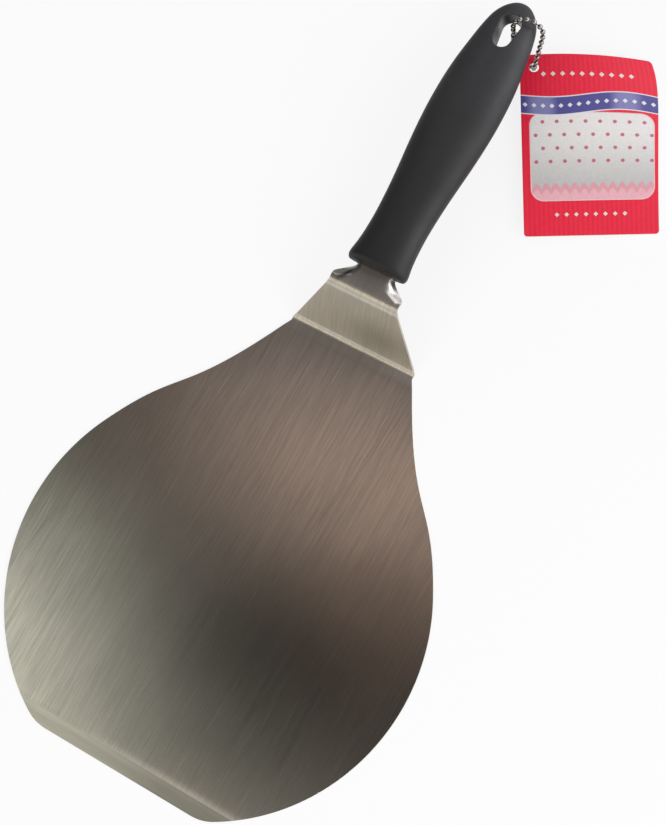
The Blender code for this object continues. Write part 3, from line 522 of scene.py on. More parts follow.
def black_moulding():
    """Matte black plastic with a fine moulded grain, smooth in its slot, with painted shade at its front and
    painted light towards its tip.
    """
    looks = bpy.context.scene.lifter_handle_looks
    material, tree, shader = new_material("black_moulding")
    place, across, along, up = object_places(tree)
    size = 1 / looks.grain_size
    grain = noise(tree, stretched(tree, place, (size, size, size)), 3.0, 0.6)
    pores = add_node(tree, "TexVoronoi", {"Vector": place, "Scale": size * 0.9}).outputs["Distance"]
    mottle = noise(tree, stretched(tree, place, (60, 45, 60)), 4.0, 0.6)
    rubbed = remap(tree, mottle, 0.35, 0.7)
    dull_and_painted_shade = tuple(channel * 1.5 + 0.004 for channel in looks.moulding)
    colour = mix_colours(tree, calc(tree, "MULTIPLY", rubbed, 0.5), looks.moulding, dull_and_painted_shade)
    # Painted shade at the front, rising to painted light at the tip.
    painted_light_toward_tip = remap(tree, along, HANDLE_FRONT, HANDLE_TIP, 0.5, 1.5, smooth=False)
    colour = add_node(tree, "VectorMath", {0: colour, "Scale": painted_light_toward_tip}, operation="SCALE").outputs[0]
    tree.links.new(colour, shader.inputs["Base Color"])
    ends = (SLOT_NARROW_Y, SLOT_WIDE_Y)
    nearest = remap(tree, along, *ends, *ends, smooth=False)
    slot_reach = remap(tree, along, *ends, SLOT_NARROW_RADIUS, SLOT_WIDE_RADIUS, smooth=False)
    from_middle = calc(tree, "SQRT", calc(tree, "ADD", calc(tree, "MULTIPLY", across, across),
                                          calc(tree, "POWER", calc(tree, "SUBTRACT", along, nearest), 2.0)))
    in_slot = remap(tree, calc(tree, "SUBTRACT", from_middle, slot_reach), 1.1 * MM, 0.5 * MM)
    rough = calc(tree, "ADD", remap(tree, mottle, 0.3, 0.7, 0.56, 0.47), calc(tree, "MULTIPLY", grain, 0.08))
    rough = calc(tree, "SUBTRACT", rough, calc(tree, "MULTIPLY", in_slot, 0.22))
    tree.links.new(rough, shader.inputs["Roughness"])
    shader.inputs["Specular IOR Level"].default_value = 0.42
    height = calc(tree, "ADD", calc(tree, "MULTIPLY", grain, 0.6), calc(tree, "MULTIPLY", pores, 0.4))
    tree.links.new(bump(tree, height, looks.grain_depth), shader.inputs["Normal"])
    return material


def plated_bead():
    """Bright plating on a rolled bead with dull tarnished spots, rougher in its hole and along its pin, with
    tarnish and painted shade there.
    """
    looks = bpy.context.scene.lifter_chain_looks
    material, tree, shader = new_material("plated_bead")
    place = add_node(tree, "TexCoord").outputs["Object"]
    spots = noise(tree, place, 4.0, 0.6, 900.0)
    rolled = noise(tree, stretched(tree, place, (5000, 5000, 700)), 2.0, 0.5)
    # Painted shade with tarnish in the hole and along the pin, off the ball's surface.
    out = add_node(tree, "VectorMath", {0: place}, operation="LENGTH").outputs["Value"]
    off_ball = calc(tree, "ABSOLUTE", calc(tree, "SUBTRACT", out, BEAD_RADIUS))
    recess_shade = remap(tree, off_ball, 0.02 * MM, 0.10 * MM)
    dull_and_painted_shade = calc(tree, "MULTIPLY", remap(tree, spots, 0.50, 0.78), 0.6)
    dull_and_painted_shade = calc(tree, "MAXIMUM", dull_and_painted_shade, recess_shade)
    colour = mix_colours(tree, dull_and_painted_shade, looks.plating, looks.tarnish_and_painted_shade)
    tree.links.new(colour, shader.inputs["Base Color"])
    shader.inputs["Metallic"].default_value = 1.0
    tree.links.new(remap(tree, dull_and_painted_shade, 0.0, 1.0, 0.12, 0.36), shader.inputs["Roughness"])
    tree.links.new(bump(tree, rolled, 0.012 * MM), shader.inputs["Normal"])
    return material


def rounded_box_distance(tree, across, up, centre, half, radius):
    """How far a place on the card lies outside a rounded rectangle, negative inside it."""
    parts = []
    for value, middle, reach in ((across, centre[0], half[0]), (up, centre[1], half[1])):
        away = calc(tree, "ABSOLUTE", calc(tree, "SUBTRACT", value, middle))
        parts.append(calc(tree, "SUBTRACT", away, reach - radius))
    inside = calc(tree, "MINIMUM", calc(tree, "MAXIMUM", *parts), 0.0)
    out_x, out_y = [calc(tree, "POWER", calc(tree, "MAXIMUM", p, 0.0), 2.0) for p in parts]
    outside = calc(tree, "SQRT", calc(tree, "ADD", out_x, out_y))
    return calc(tree, "SUBTRACT", calc(tree, "ADD", inside, outside), radius)


def within(tree, distance, softness=0.09 * MM):
    """1 inside a printed shape and 0 outside it, with the slight spread of ink."""
    return remap(tree, distance, softness, -softness)


def printed_face():
    """Card printed with a striped ground, a band, and a pale panel of dots with a scalloped foot."""
    looks = bpy.context.scene.lifter_card_looks
    material, tree, shader = new_material("printed_face")
    place = add_node(tree, "UVMap", uv_map="flat_card").outputs[0]
    across, up, level = add_node(tree, "SeparateXYZ", {0: place}).outputs
    phase = calc(tree, "MULTIPLY", across, 2 * math.pi / looks.stripe_pitch)
    stripes = remap(tree, calc(tree, "SINE", phase), -0.6, 1.0)
    colour = mix_colours(tree, stripes, looks.ground, looks.stripe)

    middle = CARD_WIDTH / 2
    panel_centre = (middle + 1.0 * MM, 36.5 * MM)
    panel_half = (26.3 * MM, 20.2 * MM)
    panel = rounded_box_distance(tree, across, up, panel_centre, panel_half, 5.5 * MM)
    rim = rounded_box_distance(
        tree, across, up, panel_centre, [h + 0.45 * MM for h in panel_half], 5.9 * MM
    )
    colour = mix_colours(tree, within(tree, rim), colour, (0.80, 0.62, 0.60))
    shade = remap(tree, up, 17 * MM, 52 * MM, 0.66, 1.04)
    shaded = add_node(tree, "VectorMath", {0: tuple(looks.panel), "Scale": shade}, operation="SCALE")
    picture = shaded.outputs[0]

    foot = calc(tree, "MULTIPLY", across, math.pi / (4.1 * MM))
    scallops = calc(tree, "MULTIPLY", calc(tree, "ABSOLUTE", calc(tree, "SINE", foot)), 2.6 * MM)
    foot_edge = calc(tree, "SUBTRACT", calc(tree, "SUBTRACT", up, 21.5 * MM), scallops)
    picture = mix_colours(tree, within(tree, foot_edge, 0.25 * MM), picture, looks.scallop)
    second = calc(tree, "SUBTRACT", calc(tree, "SUBTRACT", up, 18.6 * MM), scallops)
    paler = [min(channel * 1.25, 0.85) for channel in looks.scallop]
    picture = mix_colours(tree, within(tree, second, 0.2 * MM), picture, paler)

    pitch = 6.2 * MM
    row = calc(tree, "FLOOR", calc(tree, "DIVIDE", up, pitch))
    shift = calc(tree, "MULTIPLY", calc(tree, "MODULO", row, 2.0), pitch / 2)
    local_x = calc(tree, "SUBTRACT", calc(tree, "WRAP", calc(tree, "ADD", across, shift), pitch, 0.0), pitch / 2)
    local_y = calc(tree, "SUBTRACT", calc(tree, "WRAP", up, pitch, 0.0), pitch / 2)
    squares = [calc(tree, "MULTIPLY", v, v) for v in (local_x, local_y)]
    radius = calc(tree, "SQRT", calc(tree, "ADD", *squares))
    dots = within(tree, calc(tree, "SUBTRACT", radius, 0.85 * MM), 0.14 * MM)
    above_foot = remap(tree, up, 31.0 * MM, 31.5 * MM)
    dots = calc(tree, "MULTIPLY", dots, above_foot)
    picture = mix_colours(tree, calc(tree, "MULTIPLY", dots, 0.85), picture, looks.dot)
    colour = mix_colours(tree, within(tree, panel), colour, picture)

    band_level = 61.5 * MM
    swell = calc(tree, "SINE", calc(tree, "MULTIPLY", across, 2 * math.pi / (CARD_WIDTH * 1.02)))
    band_middle = calc(tree, "ADD", calc(tree, "MULTIPLY", swell, -1.5 * MM), band_level)
    off_band = calc(tree, "ABSOLUTE", calc(tree, "SUBTRACT", up, band_middle))
    white = (0.80, 0.80, 0.82)
    folds = calc(tree, "SINE", calc(tree, "MULTIPLY", across, 2 * math.pi / (CARD_WIDTH * 0.62)))
    satin = mix_colours(tree, remap(tree, folds, 0.2, 1.0, 0.0, 0.45), looks.band, (0.42, 0.42, 0.72))
    for reach, ink in ((4.5 * MM, white), (4.0 * MM, satin)):
        share = within(tree, calc(tree, "SUBTRACT", off_band, reach))
        colour = mix_colours(tree, share, colour, ink)
    bead_x = calc(tree, "SUBTRACT", calc(tree, "WRAP", across, 3.9 * MM, 0.0), 1.95 * MM)
    bead_y = calc(tree, "SUBTRACT", up, band_middle)
    lozenge = calc(tree, "ADD", calc(tree, "ABSOLUTE", bead_x), calc(tree, "ABSOLUTE", bead_y))
    share = within(tree, calc(tree, "SUBTRACT", lozenge, 1.1 * MM))
    colour = mix_colours(tree, share, colour, white)

    for level, reach, half_length in ((75.2 * MM, 1.15 * MM, 21 * MM), (9.6 * MM, 1.0 * MM, 16.8 * MM)):
        away = calc(tree, "ABSOLUTE", calc(tree, "SUBTRACT", across, middle))
        step = calc(tree, "SUBTRACT", calc(tree, "WRAP", away, 4.2 * MM, 0.0), 2.1 * MM)
        sides = calc(tree, "ADD", calc(tree, "ABSOLUTE", step), calc(tree, "ABSOLUTE", calc(tree, "SUBTRACT", up, level)))
        share = within(tree, calc(tree, "SUBTRACT", sides, reach))
        share = calc(tree, "MULTIPLY", share, within(tree, calc(tree, "SUBTRACT", away, half_length)))
        colour = mix_colours(tree, share, colour, (0.82, 0.74, 0.70))

    fibre = noise(tree, stretched(tree, place, (900, 900, 900)), 4.0, 0.6)
    wear_and_painted_light = remap(tree, fibre, 0.3, 0.7, 0.96, 1.03)
    printed = add_node(tree, "VectorMath", {0: colour, "Scale": wear_and_painted_light}, operation="SCALE").outputs[0]
    tree.links.new(printed, shader.inputs["Base Color"])
    tree.links.new(remap(tree, fibre, 0.3, 0.7, 0.38, 0.50), shader.inputs["Roughness"])
    shader.inputs["Specular IOR Level"].default_value = 0.35
    tree.links.new(bump(tree, fibre, 0.01 * MM), shader.inputs["Normal"])
    return material


def bare_board():
    """The uncoated back and the cut edges of the card."""
    material, tree, shader = new_material("bare_board")
    place, across, up, lift = object_places(tree)
    fibre = noise(tree, stretched(tree, place, (1400, 700, 4000)), 5.0, 0.65)
    colour = mix_colours(tree, remap(tree, fibre, 0.3, 0.7), (0.62, 0.58, 0.54), (0.76, 0.74, 0.71))
    tree.links.new(colour, shader.inputs["Base Color"])
    tree.links.new(remap(tree, fibre, 0.3, 0.7, 0.72, 0.86), shader.inputs["Roughness"])
    tree.links.new(bump(tree, fibre, 0.03 * MM), shader.inputs["Normal"])
    return material


# Blade


def blade_side(corner_steps=12, rim_steps=90, flank_steps=36):
    """The right side of the blade seen from above, from the front edge to the lower bend."""
    reach = BLADE_RADIUS - FRONT_CORNER_RADIUS
    corner_y = FRONT_CORNER_RADIUS - FRONT_SETBACK
    corner = Vector((math.sqrt(reach**2 - corner_y**2), corner_y))
    meet = math.atan2(corner.y, corner.x)
    points = arc_points(corner, FRONT_CORNER_RADIUS, -math.pi / 2, meet, corner_steps)
    points += arc_points(Vector((0, 0)), BLADE_RADIUS, meet, FLANK_LEAVE_ANGLE, rim_steps)[1:]
    start = points[-1]
    end = Vector((LOWER_BEND_HALF_WIDTH, LOWER_BEND_Y - BEND_TANGENT))
    leave = Vector((-math.sin(FLANK_LEAVE_ANGLE), math.cos(FLANK_LEAVE_ANGLE)))
    arrive = Vector((-math.sin(FLANK_END_ANGLE), math.cos(FLANK_END_ANGLE)))
    pull_low = start + leave * FLANK_PULL_LOW
    pull_high = end - arrive * FLANK_PULL_HIGH
    for i in range(1, flank_steps + 1):
        t = i / flank_steps
        near = start * (1 - t) ** 3 + pull_low * 3 * t * (1 - t) ** 2
        points.append(near + pull_high * 3 * t * t * (1 - t) + end * t**3)
    return points


def column_shares(web_columns=8, flange_columns=8):
    """Across half the sheet: shares of the flat web, then of the turned-down edge."""
    web = [i / web_columns for i in range(web_columns + 1)]
    flange = [i / flange_columns for i in range(1, flange_columns + 1)]
    return web, flange


def column_places(web, half_width, drop):
    web_shares, flange_shares = column_shares()
    right = [(web * share, 0) for share in web_shares]
    for share in flange_shares:
        turned = 1 - math.cos(share * math.pi / 2 * 1.15)
        right.append((between(web, half_width, share), drop * turned / (1 - math.cos(math.pi / 2 * 1.15))))
    return [(-x, z) for x, z in reversed(right[1:])] + right


def neck_row(y, widen=0):
    """One row across the neck or the tang, at the height of the neck's underside."""
    beyond = y - UPPER_BEND_Y
    web = eased_along(beyond, *WEB_NARROWING, UPPER_BEND_HALF_WIDTH, WEB_HALF_WIDTH)
    half_width = eased_along(beyond, *EDGE_NARROWING, UPPER_BEND_HALF_WIDTH, NECK_HALF_WIDTH)
    web = min(web, half_width * WEB_HALF_WIDTH / NECK_HALF_WIDTH)
    drop = FLANGE_DROP * ease((beyond - FLANGE_TURN[0]) / FLANGE_TURN[1])
    fade = ease((y - HANDLE_FRONT - FLANGE_FADE[0]) / FLANGE_FADE[1])
    half_width = between(half_width, TANG_HALF_WIDTH, fade)
    web = between(web, TANG_HALF_WIDTH * WEB_HALF_WIDTH / NECK_HALF_WIDTH, fade)
    drop *= 1 - fade
    into_round = max(y - (TANG_END - TANG_END_ROUND), 0)
    spare = TANG_END_ROUND - math.sqrt(max(TANG_END_ROUND**2 - into_round**2, 0))
    narrowing = 1 - spare / TANG_HALF_WIDTH
    places = column_places(web, half_width, drop)
    return [
        Vector((x * narrowing + math.copysign(widen, x) * (x != 0), y, RISER_RISE - down))
        for x, down in places
    ]


def crank_rows(bend_steps=14, riser_steps=10):
    """The rows from the lower bend, up the riser and round the upper bend."""
    slope = Vector((math.cos(RISER_ANGLE), math.sin(RISER_ANGLE)))
    low_corner = Vector((LOWER_BEND_Y, 0))
    high_corner = Vector((UPPER_BEND_Y, RISER_RISE))
    low_centre = low_corner + Vector((-BEND_TANGENT, BEND_RADIUS))
    high_centre = high_corner + Vector((BEND_TANGENT, -BEND_RADIUS))
    quarter = math.pi / 2
    profile = arc_points(low_centre, BEND_RADIUS, -quarter, RISER_ANGLE - quarter, bend_steps)
    upper = arc_points(high_centre, BEND_RADIUS, quarter + RISER_ANGLE, quarter, bend_steps)
    foot, head = profile[-1], upper[0]
    profile += [foot.lerp(head, i / riser_steps) for i in range(1, riser_steps)] + upper
    length = (high_corner - low_corner).length
    rows = []
    for place in profile:
        climbed = min(max((place - low_corner).dot(slope) / length, 0), 1)
        half_width = between(LOWER_BEND_HALF_WIDTH, UPPER_BEND_HALF_WIDTH, climbed)
        columns = column_places(half_width * WEB_HALF_WIDTH / NECK_HALF_WIDTH, half_width, 0)
        rows.append([Vector((x, place.x, place.y)) for x, _ in columns])
    return rows


def neck_rows(start, end, steps):
    return [neck_row(between(start, end, i / steps)) for i in range(1, steps + 1)]


def all_rows():
    rows = crank_rows()
    rows += neck_rows(UPPER_BEND_Y + BEND_TANGENT, HANDLE_FRONT, 30)
    rows += neck_rows(HANDLE_FRONT, HANDLE_FRONT + FLANGE_FADE[0] + FLANGE_FADE[1], 10)
    rows += neck_rows(HANDLE_FRONT + FLANGE_FADE[0] + FLANGE_FADE[1], TANG_END - TANG_END_ROUND, 4)
    for i in range(1, 8):
        rows.append(neck_row(TANG_END - TANG_END_ROUND * (1 - math.sin(math.pi / 2 * i / 8))))
    return rows


def ground_thickness(y):
    """The sheet's thickness as a share: thin at the front edge, with a soft crest behind it."""
    back = (y + FRONT_SETBACK) / GROUND_WIDTH
    thin = GROUND_EDGE / SHEET
    slope = between(thin, 1, back)
    crest = 0.10
    return 1 - crest * math.log1p(math.exp((1 - slope) / crest))


def flat_faces(bm, first_row):
    """The flat blade as strips across it, closely set where its front is ground thin."""
    columns = len(first_row)
    side = blade_side()
    strips = []
    for low, high in zip(side, side[1:]):
        parts = max(math.ceil((high.y - low.y) / (0.8 * MM)), 1) if low.y < GROUND_END else 1
        strips += [low.lerp(high, k / parts) for k in range(parts)]
    rows = []
    for point in strips:
        places = [between(-point.x, point.x, i / (columns - 1)) for i in range(columns)]
        rows.append([bm.verts.new((x, point.y, 0)) for x in places])
    beside_bend = [vert.co - Vector((0, 0.4 * MM, 0)) for vert in first_row]
    rows.append([bm.verts.new(place) for place in beside_bend])
    rows.append(first_row)
    for low, high in zip(rows, rows[1:]):
        ground = (low[0].co.y + high[0].co.y) / 2 < GROUND_WIDTH - FRONT_SETBACK
        for i in range(columns - 1):
            face = bm.faces.new((low[i], low[i + 1], high[i + 1], high[i]))
            face.material_index = 1 if ground else 0


def build_blade():
    looks = bpy.context.scene.lifter_blade_looks
    bm = bmesh.new()
    rows = all_rows()
    grid = [[bm.verts.new(p) for p in row] for row in rows]
    for low, high in zip(grid, grid[1:]):
        for i in range(len(low) - 1):
            bm.faces.new((low[i], low[i + 1], high[i + 1], high[i]))
    flat_faces(bm, grid[0])
    bm.normal_update()
    for face in bm.faces:
        if face.normal.z < 0:
            face.normal_flip()
    mesh = bpy.data.meshes.new("blade_sheet")
    bm.to_mesh(mesh)
    bm.free()
    mesh.materials.append(brushed_steel())
    mesh.materials.append(ground_steel())
    piece = bpy.data.objects.new("blade_sheet", mesh)
    bpy.context.scene.collection.objects.link(piece)
    group = piece.vertex_groups.new(name="thickness")
    for vert in mesh.vertices:
        share = ground_thickness(vert.co.y) if vert.co.y < GROUND_END else 1
        group.add([vert.index], share, "REPLACE")
    sheet = piece.modifiers.new("sheet", "SOLIDIFY")
    sheet.thickness = SHEET
    sheet.offset = 1
    sheet.use_even_offset = True
    sheet.vertex_group = group.name
    wear_and_painted_light = piece.modifiers.new("worn_edges", "BEVEL")
    wear_and_painted_light.width = looks.edge_rounding
    wear_and_painted_light.segments = 3
    wear_and_painted_light.limit_method = "ANGLE"
    wear_and_painted_light.angle_limit = math.radians(40)
    wear_and_painted_light.harden_normals = True
    mesh.shade_smooth()
    settle(piece)
    add_brushing_map(piece.data)
    return piece


def add_brushing_map(mesh):
    """A plan map whose first direction runs across the brushing, the way that it spreads gloss."""
    layer = mesh.uv_layers.new(name="brushing")
    for loop in mesh.loops:
        place = mesh.vertices[loop.vertex_index].co
        layer.data[loop.index].uv = (place.x, place.y + place.z * 0.5)


# Handle


def half_width_at(y):
    return HANDLE_HALF_WIDTH * station_value(WIDTH_STATIONS, (y - HANDLE_FRONT) / HANDLE_LENGTH)


def half_thickness_at(y):
    share = (y - HANDLE_FRONT) / HANDLE_LENGTH
    return HANDLE_HALF_THICKNESS * station_value(THICKNESS_STATIONS, share)


def height_at(y):
    return HANDLE_FRONT_HEIGHT - HANDLE_TIP_DROP * (y - HANDLE_FRONT) / HANDLE_LENGTH


def handle_ring(y, side_inset=0.0, top_inset=0.0, sides=112, seam=0.0):
    """One closed ring round the handle: an ellipse with squared shoulders and a fine seam."""
    half_width = half_width_at(y) - side_inset
    half_thickness = half_thickness_at(y) - top_inset
    power = 2 / HANDLE_SQUARENESS
    ring = []
    for i in range(sides):
        angle = 2 * math.pi * i / sides
        across = math.copysign(abs(math.cos(angle)) ** power, math.cos(angle))
        up = math.copysign(abs(math.sin(angle)) ** power, math.sin(angle))
        out = seam if i % (sides // 2) == 0 else 0.0
        x = half_width * across + math.copysign(out, across)
        ring.append(Vector((x, y, height_at(y) + half_thickness * up)))
    return ring


def slot_ring(grow, level, points=24):
    """The drop-shaped slot at one level. The level is the height over each point of the ring."""
    wide = SLOT_WIDE_RADIUS + grow
    narrow = SLOT_NARROW_RADIUS + grow
    lean = math.asin((wide - narrow) / (SLOT_WIDE_Y - SLOT_NARROW_Y))
    outline = arc_points(Vector((0, SLOT_WIDE_Y)), wide, -lean, math.pi + lean, points)
    outline += arc_points(
        Vector((0, SLOT_NARROW_Y)), narrow, math.pi + lean, 2 * math.pi - lean, points
    )
    spaced = []
    for a, b in zip(outline, outline[1:] + outline[:1]):
        parts = max(round((b - a).length / (0.8 * MM)), 1)
        spaced += [a.lerp(b, k / parts) for k in range(parts)]
    return [Vector((p.x, p.y, level(p))) for p in spaced]


def handle_surface(side):
    """The height of the handle's crown, or of its underside, over a place in its plan."""
    def height(place):
        half_width = half_width_at(place.y)
        out = min(abs(place.x) / half_width, 1)
        fullness = (1 - out**HANDLE_SQUARENESS) ** (1 / HANDLE_SQUARENESS)
        return height_at(place.y) + side * half_thickness_at(place.y) * fullness
    return height


def slot_cutter(rounding):
    """A shaft whose two ends flare out in a quarter round, at the handle's own surface."""
    crown, underside = handle_surface(1), handle_surface(-1)
    steps = 6
    base = slot_ring(0, crown)
    rings = []
    overrun = 3 * MM

    def ring(grow, height):
        grown = slot_ring(grow, lambda p: 0)
        if len(grown) != len(base):
            grown = resampled(grown, len(base))
        return [Vector((p.x, p.y, height(b))) for p, b in zip(grown, base)]

    rings.append(ring(rounding + overrun * 0.1 - SLOT_DRAFT, lambda b: underside(b) - overrun))
    for i in range(steps + 1):
        turn = math.pi / 2 * i / steps
        out = rounding * (1 - math.sin(turn))
        up = rounding * (1 - math.cos(turn))
        rings.append(ring(out - SLOT_DRAFT, lambda b, up=up: underside(b) + up))
    for i in range(steps + 1):
        turn = math.pi / 2 * (1 - i / steps)
        out = rounding * (1 - math.sin(turn))
        up = rounding * (1 - math.cos(turn))
        rings.append(ring(out, lambda b, up=up: crown(b) - up))
    rings.append(ring(rounding + overrun * 0.1, lambda b: crown(b) + overrun))
    bm = bmesh.new()
    skin_rings(bm, rings)
    return new_piece("slot_cutter", bm, [])


def resampled(points, count):
    """The same closed line with another number of equally shared points."""
    lengths = [(b - a).length for a, b in zip(points, points[1:] + points[:1])]
    total = sum(lengths)
    result = []
    index, walked = 0, 0.0
    for k in range(count):
        target = total * k / count
        while walked + lengths[index] < target:
            walked += lengths[index]
            index += 1
        share = (target - walked) / lengths[index]
        result.append(points[index].lerp(points[(index + 1) % len(points)], share))
    return result


def tang_mouth():
    """The mouth in the handle's front that the neck enters, a hair wider than the neck."""
    hair = 0.12 * MM
    bm = bmesh.new()
    rows = [neck_row(HANDLE_FRONT + y, hair) for y in (-2 * MM, 0, 2 * MM, 4 * MM)]
    grid = [[bm.verts.new(p) for p in row] for row in rows]
    for low, high in zip(grid, grid[1:]):
        for i in range(len(low) - 1):
            bm.faces.new((low[i], low[i + 1], high[i + 1], high[i]))
    bm.normal_update()
    for face in bm.faces:
        if face.normal.z < 0:
            face.normal_flip()
    mesh = bpy.data.meshes.new("tang_mouth")
    bm.to_mesh(mesh)
    bm.free()
    mouth = bpy.data.objects.new("tang_mouth", mesh)
    bpy.context.scene.collection.objects.link(mouth)
    sheet = mouth.modifiers.new("sheet", "SOLIDIFY")
    sheet.thickness = SHEET + 2 * hair
    sheet.offset = SHEET / (SHEET + 2 * hair)
    sheet.use_even_offset = True
    settle(mouth)
    return mouth


def build_handle():
    looks = bpy.context.scene.lifter_handle_looks
    rings = []
    rim_steps = 9
    for i in range(rim_steps):
        turn = math.pi / 2 * i / rim_steps
        y = HANDLE_FRONT + RIM_DEPTH * (1 - math.cos(turn))
        inset = 1 - math.sin(turn)
        rings.append(handle_ring(y, RIM_SIDE_INSET * inset, RIM_TOP_INSET * inset))
    body_start = HANDLE_FRONT + RIM_DEPTH
    body_steps = 110
    for i in range(body_steps + 1):
        y = between(body_start, SLOT_WIDE_Y, i / body_steps)
        rings.append(handle_ring(y, seam=looks.seam_height * min(i / 6, 1)))
    tip_steps = 22
    for i in range(1, tip_steps):
        y = between(SLOT_WIDE_Y, HANDLE_TIP, math.sin(math.pi / 2 * i / tip_steps))
        rings.append(handle_ring(y, seam=looks.seam_height * (1 - i / tip_steps)))
    bm = bmesh.new()
    skin_rings(bm, rings, end_pole=Vector((0, HANDLE_TIP, height_at(HANDLE_TIP))))
    piece = new_piece("handle_moulding", bm, [black_moulding()])
    cut_and_keep(piece, slot_cutter(looks.slot_rounding))
    cut_and_keep(piece, tang_mouth())
    piece.data.set_sharp_from_angle(angle=math.radians(40))
    return piece


# Chain


def bead_centre(node):
    """The centre of a packed bead: most of its outer points lie one radius away from it."""
    places = [v.co.copy() for v in frame["nodes"][node].data.vertices]
    centre = sum(places, Vector()) / len(places)
    for reach in (0.7, 0.5, 0.3, 0.2, 0.1, 0.05, 0.02):
        for _ in range(30):
            pulls = []
            for place in places:
                away = place - centre
                miss = away.length - BEAD_RADIUS
                if abs(miss) < reach * MM:
                    pulls.append(away.normalized() * miss)
            if not pulls:
                break
            centre = centre + sum(pulls, Vector()) / len(pulls) * 1.5
    return centre


def bead_profile(hole_steps=3, round_steps=16):
    """Half the outline of a bead from its arriving hole to its pin, as turn and radius pairs."""
    hole = math.asin(BEAD_HOLE_RADIUS / BEAD_RADIUS)
    inner = BEAD_RADIUS * 0.82
    outline = []
    for i in range(hole_steps):
        radius = between(inner, BEAD_RADIUS * 0.985, i / hole_steps)
        outline.append((math.pi - hole * 0.94, radius))
    for i in range(round_steps + 1):
        outline.append((between(math.pi - hole, hole * 0.55, i / round_steps), BEAD_RADIUS))
    return outline


def build_bead(name, centre, arriving, leaving, step, sides, material):
    """A rolled bead with a turned-in hole, and the pin that leads to the next bead."""
    lean = arriving.angle(leaving, 0)
    hinge = arriving.cross(leaving) if lean > math.radians(1) else arriving.orthogonal()
    hinge.normalize()
    profile = bead_profile()
    rings = []
    for k, (polar, radius) in enumerate(profile):
        turned = lean * ease(1 - polar / math.pi)
        axis = Matrix.Rotation(turned, 3, hinge) @ arriving
        rings.append(ring_about(axis, hinge, radius * math.sin(polar), radius * math.cos(polar), sides))
    end = leaving * BEAD_RADIUS
    if step:
        neck = BEAD_RADIUS * math.cos(math.asin(PIN_RADIUS * 1.6 / BEAD_RADIUS))
        rings.append(ring_about(leaving, hinge, PIN_RADIUS * 1.6, neck, sides))
        rings.append(ring_about(leaving, hinge, PIN_RADIUS, neck + PIN_RADIUS * 0.6, sides))
        rings.append(ring_about(leaving, hinge, PIN_RADIUS, step - BEAD_RADIUS * 0.70, sides))
        rings.append(ring_about(leaving, hinge, PIN_RADIUS * 1.9, step - BEAD_RADIUS * 0.55, sides))
        end = leaving * (step - BEAD_RADIUS * 0.45)
    bm = bmesh.new()
    skin_rings(bm, rings, start_pole=arriving * -BEAD_RADIUS * 0.70, end_pole=end)
    piece = new_piece(name, bm, [material], math.radians(50))
    piece.location = centre
    return piece


def ring_about(axis, side, radius, along, sides):
    other = axis.cross(side)
    angles = [2 * math.pi * i / sides for i in range(sides)]
    return [axis * along + (side * math.cos(a) + other * math.sin(a)) * radius for a in angles]


def build_chain():
    looks = bpy.context.scene.lifter_chain_looks
    material = plated_bead()
    nodes = [f"chain_link_{i + 1:02d}" for i in range(BEAD_COUNT)]
    centres = [bead_centre(node) for node in nodes]
    for i, node in enumerate(nodes):
        arriving = (centres[i] - centres[i - 1]).normalized()
        onward = centres[(i + 1) % BEAD_COUNT] - centres[i]
        step = onward.length if i < BEAD_COUNT - 1 else 0
        name = f"chain_bead_{i + 1:02d}"
        piece = build_bead(name, centres[i], arriving, onward.normalized(), step, looks.sides, material)
        check_place(piece, node, 0.1 * MM)
        stand_for(piece, node)
    sleeve = frame["nodes"]["chain_connector"]
    sleeve.data.materials.clear()
    sleeve.data.materials.append(material)
    return centres


# Card


def card_lift(x, y):
    """How far the card lies off the table. Its right side rests and its left side is held up."""
    across = x / CARD_WIDTH
    up = y / CARD_LENGTH
    left = between(CARD_BOTTOM_LEFT_LIFT, CARD_TOP_LEFT_LIFT, up)
    bow = CARD_BOW * 4 * across * (1 - across) * up
    return between(left, CARD_FLOOR_GAP, across) + bow


def drooped(x, y):
    """How far up the card a place lies, with its upper right corner drawn down."""
    across = x / CARD_WIDTH
    rising = max(y / CARD_LENGTH - DROOP_START, 0) / (1 - DROOP_START)
    return y - CARD_CORNER_DROOP * across**2 * rising


def pulled(x, y):
    """How far across the card a place lies, with its right side bowed and its corner drawn in."""
    up = min(max(y / CARD_LENGTH, 0), 1)
    side = 3.4 * MM * up**1.3 - 3.7 * MM * up**9 - 0.3 * MM
    return x + side * (x / CARD_WIDTH) ** 2


def card_outline(steps=10):
    """The card's edge in its own plane, with points all along its sides."""
    radius = CARD_CORNER_RADIUS
    corners = ((0, 0, math.pi), (CARD_WIDTH, 0, 1.5 * math.pi),
               (CARD_WIDTH, CARD_LENGTH, 0), (0, CARD_LENGTH, math.pi / 2))
    points = []
    for x, y, start in corners:
        middle = Vector((x + math.copysign(radius, CARD_WIDTH / 2 - x),
                         y + math.copysign(radius, CARD_LENGTH / 2 - y)))
        points += arc_points(middle, radius, start, start + math.pi / 2, steps)
    return points


def add_loop(bm, points):
    verts = [bm.verts.new((p.x, p.y, 0)) for p in points]
    return [bm.edges.new((a, b)) for a, b in zip(verts, verts[1:] + verts[:1])]


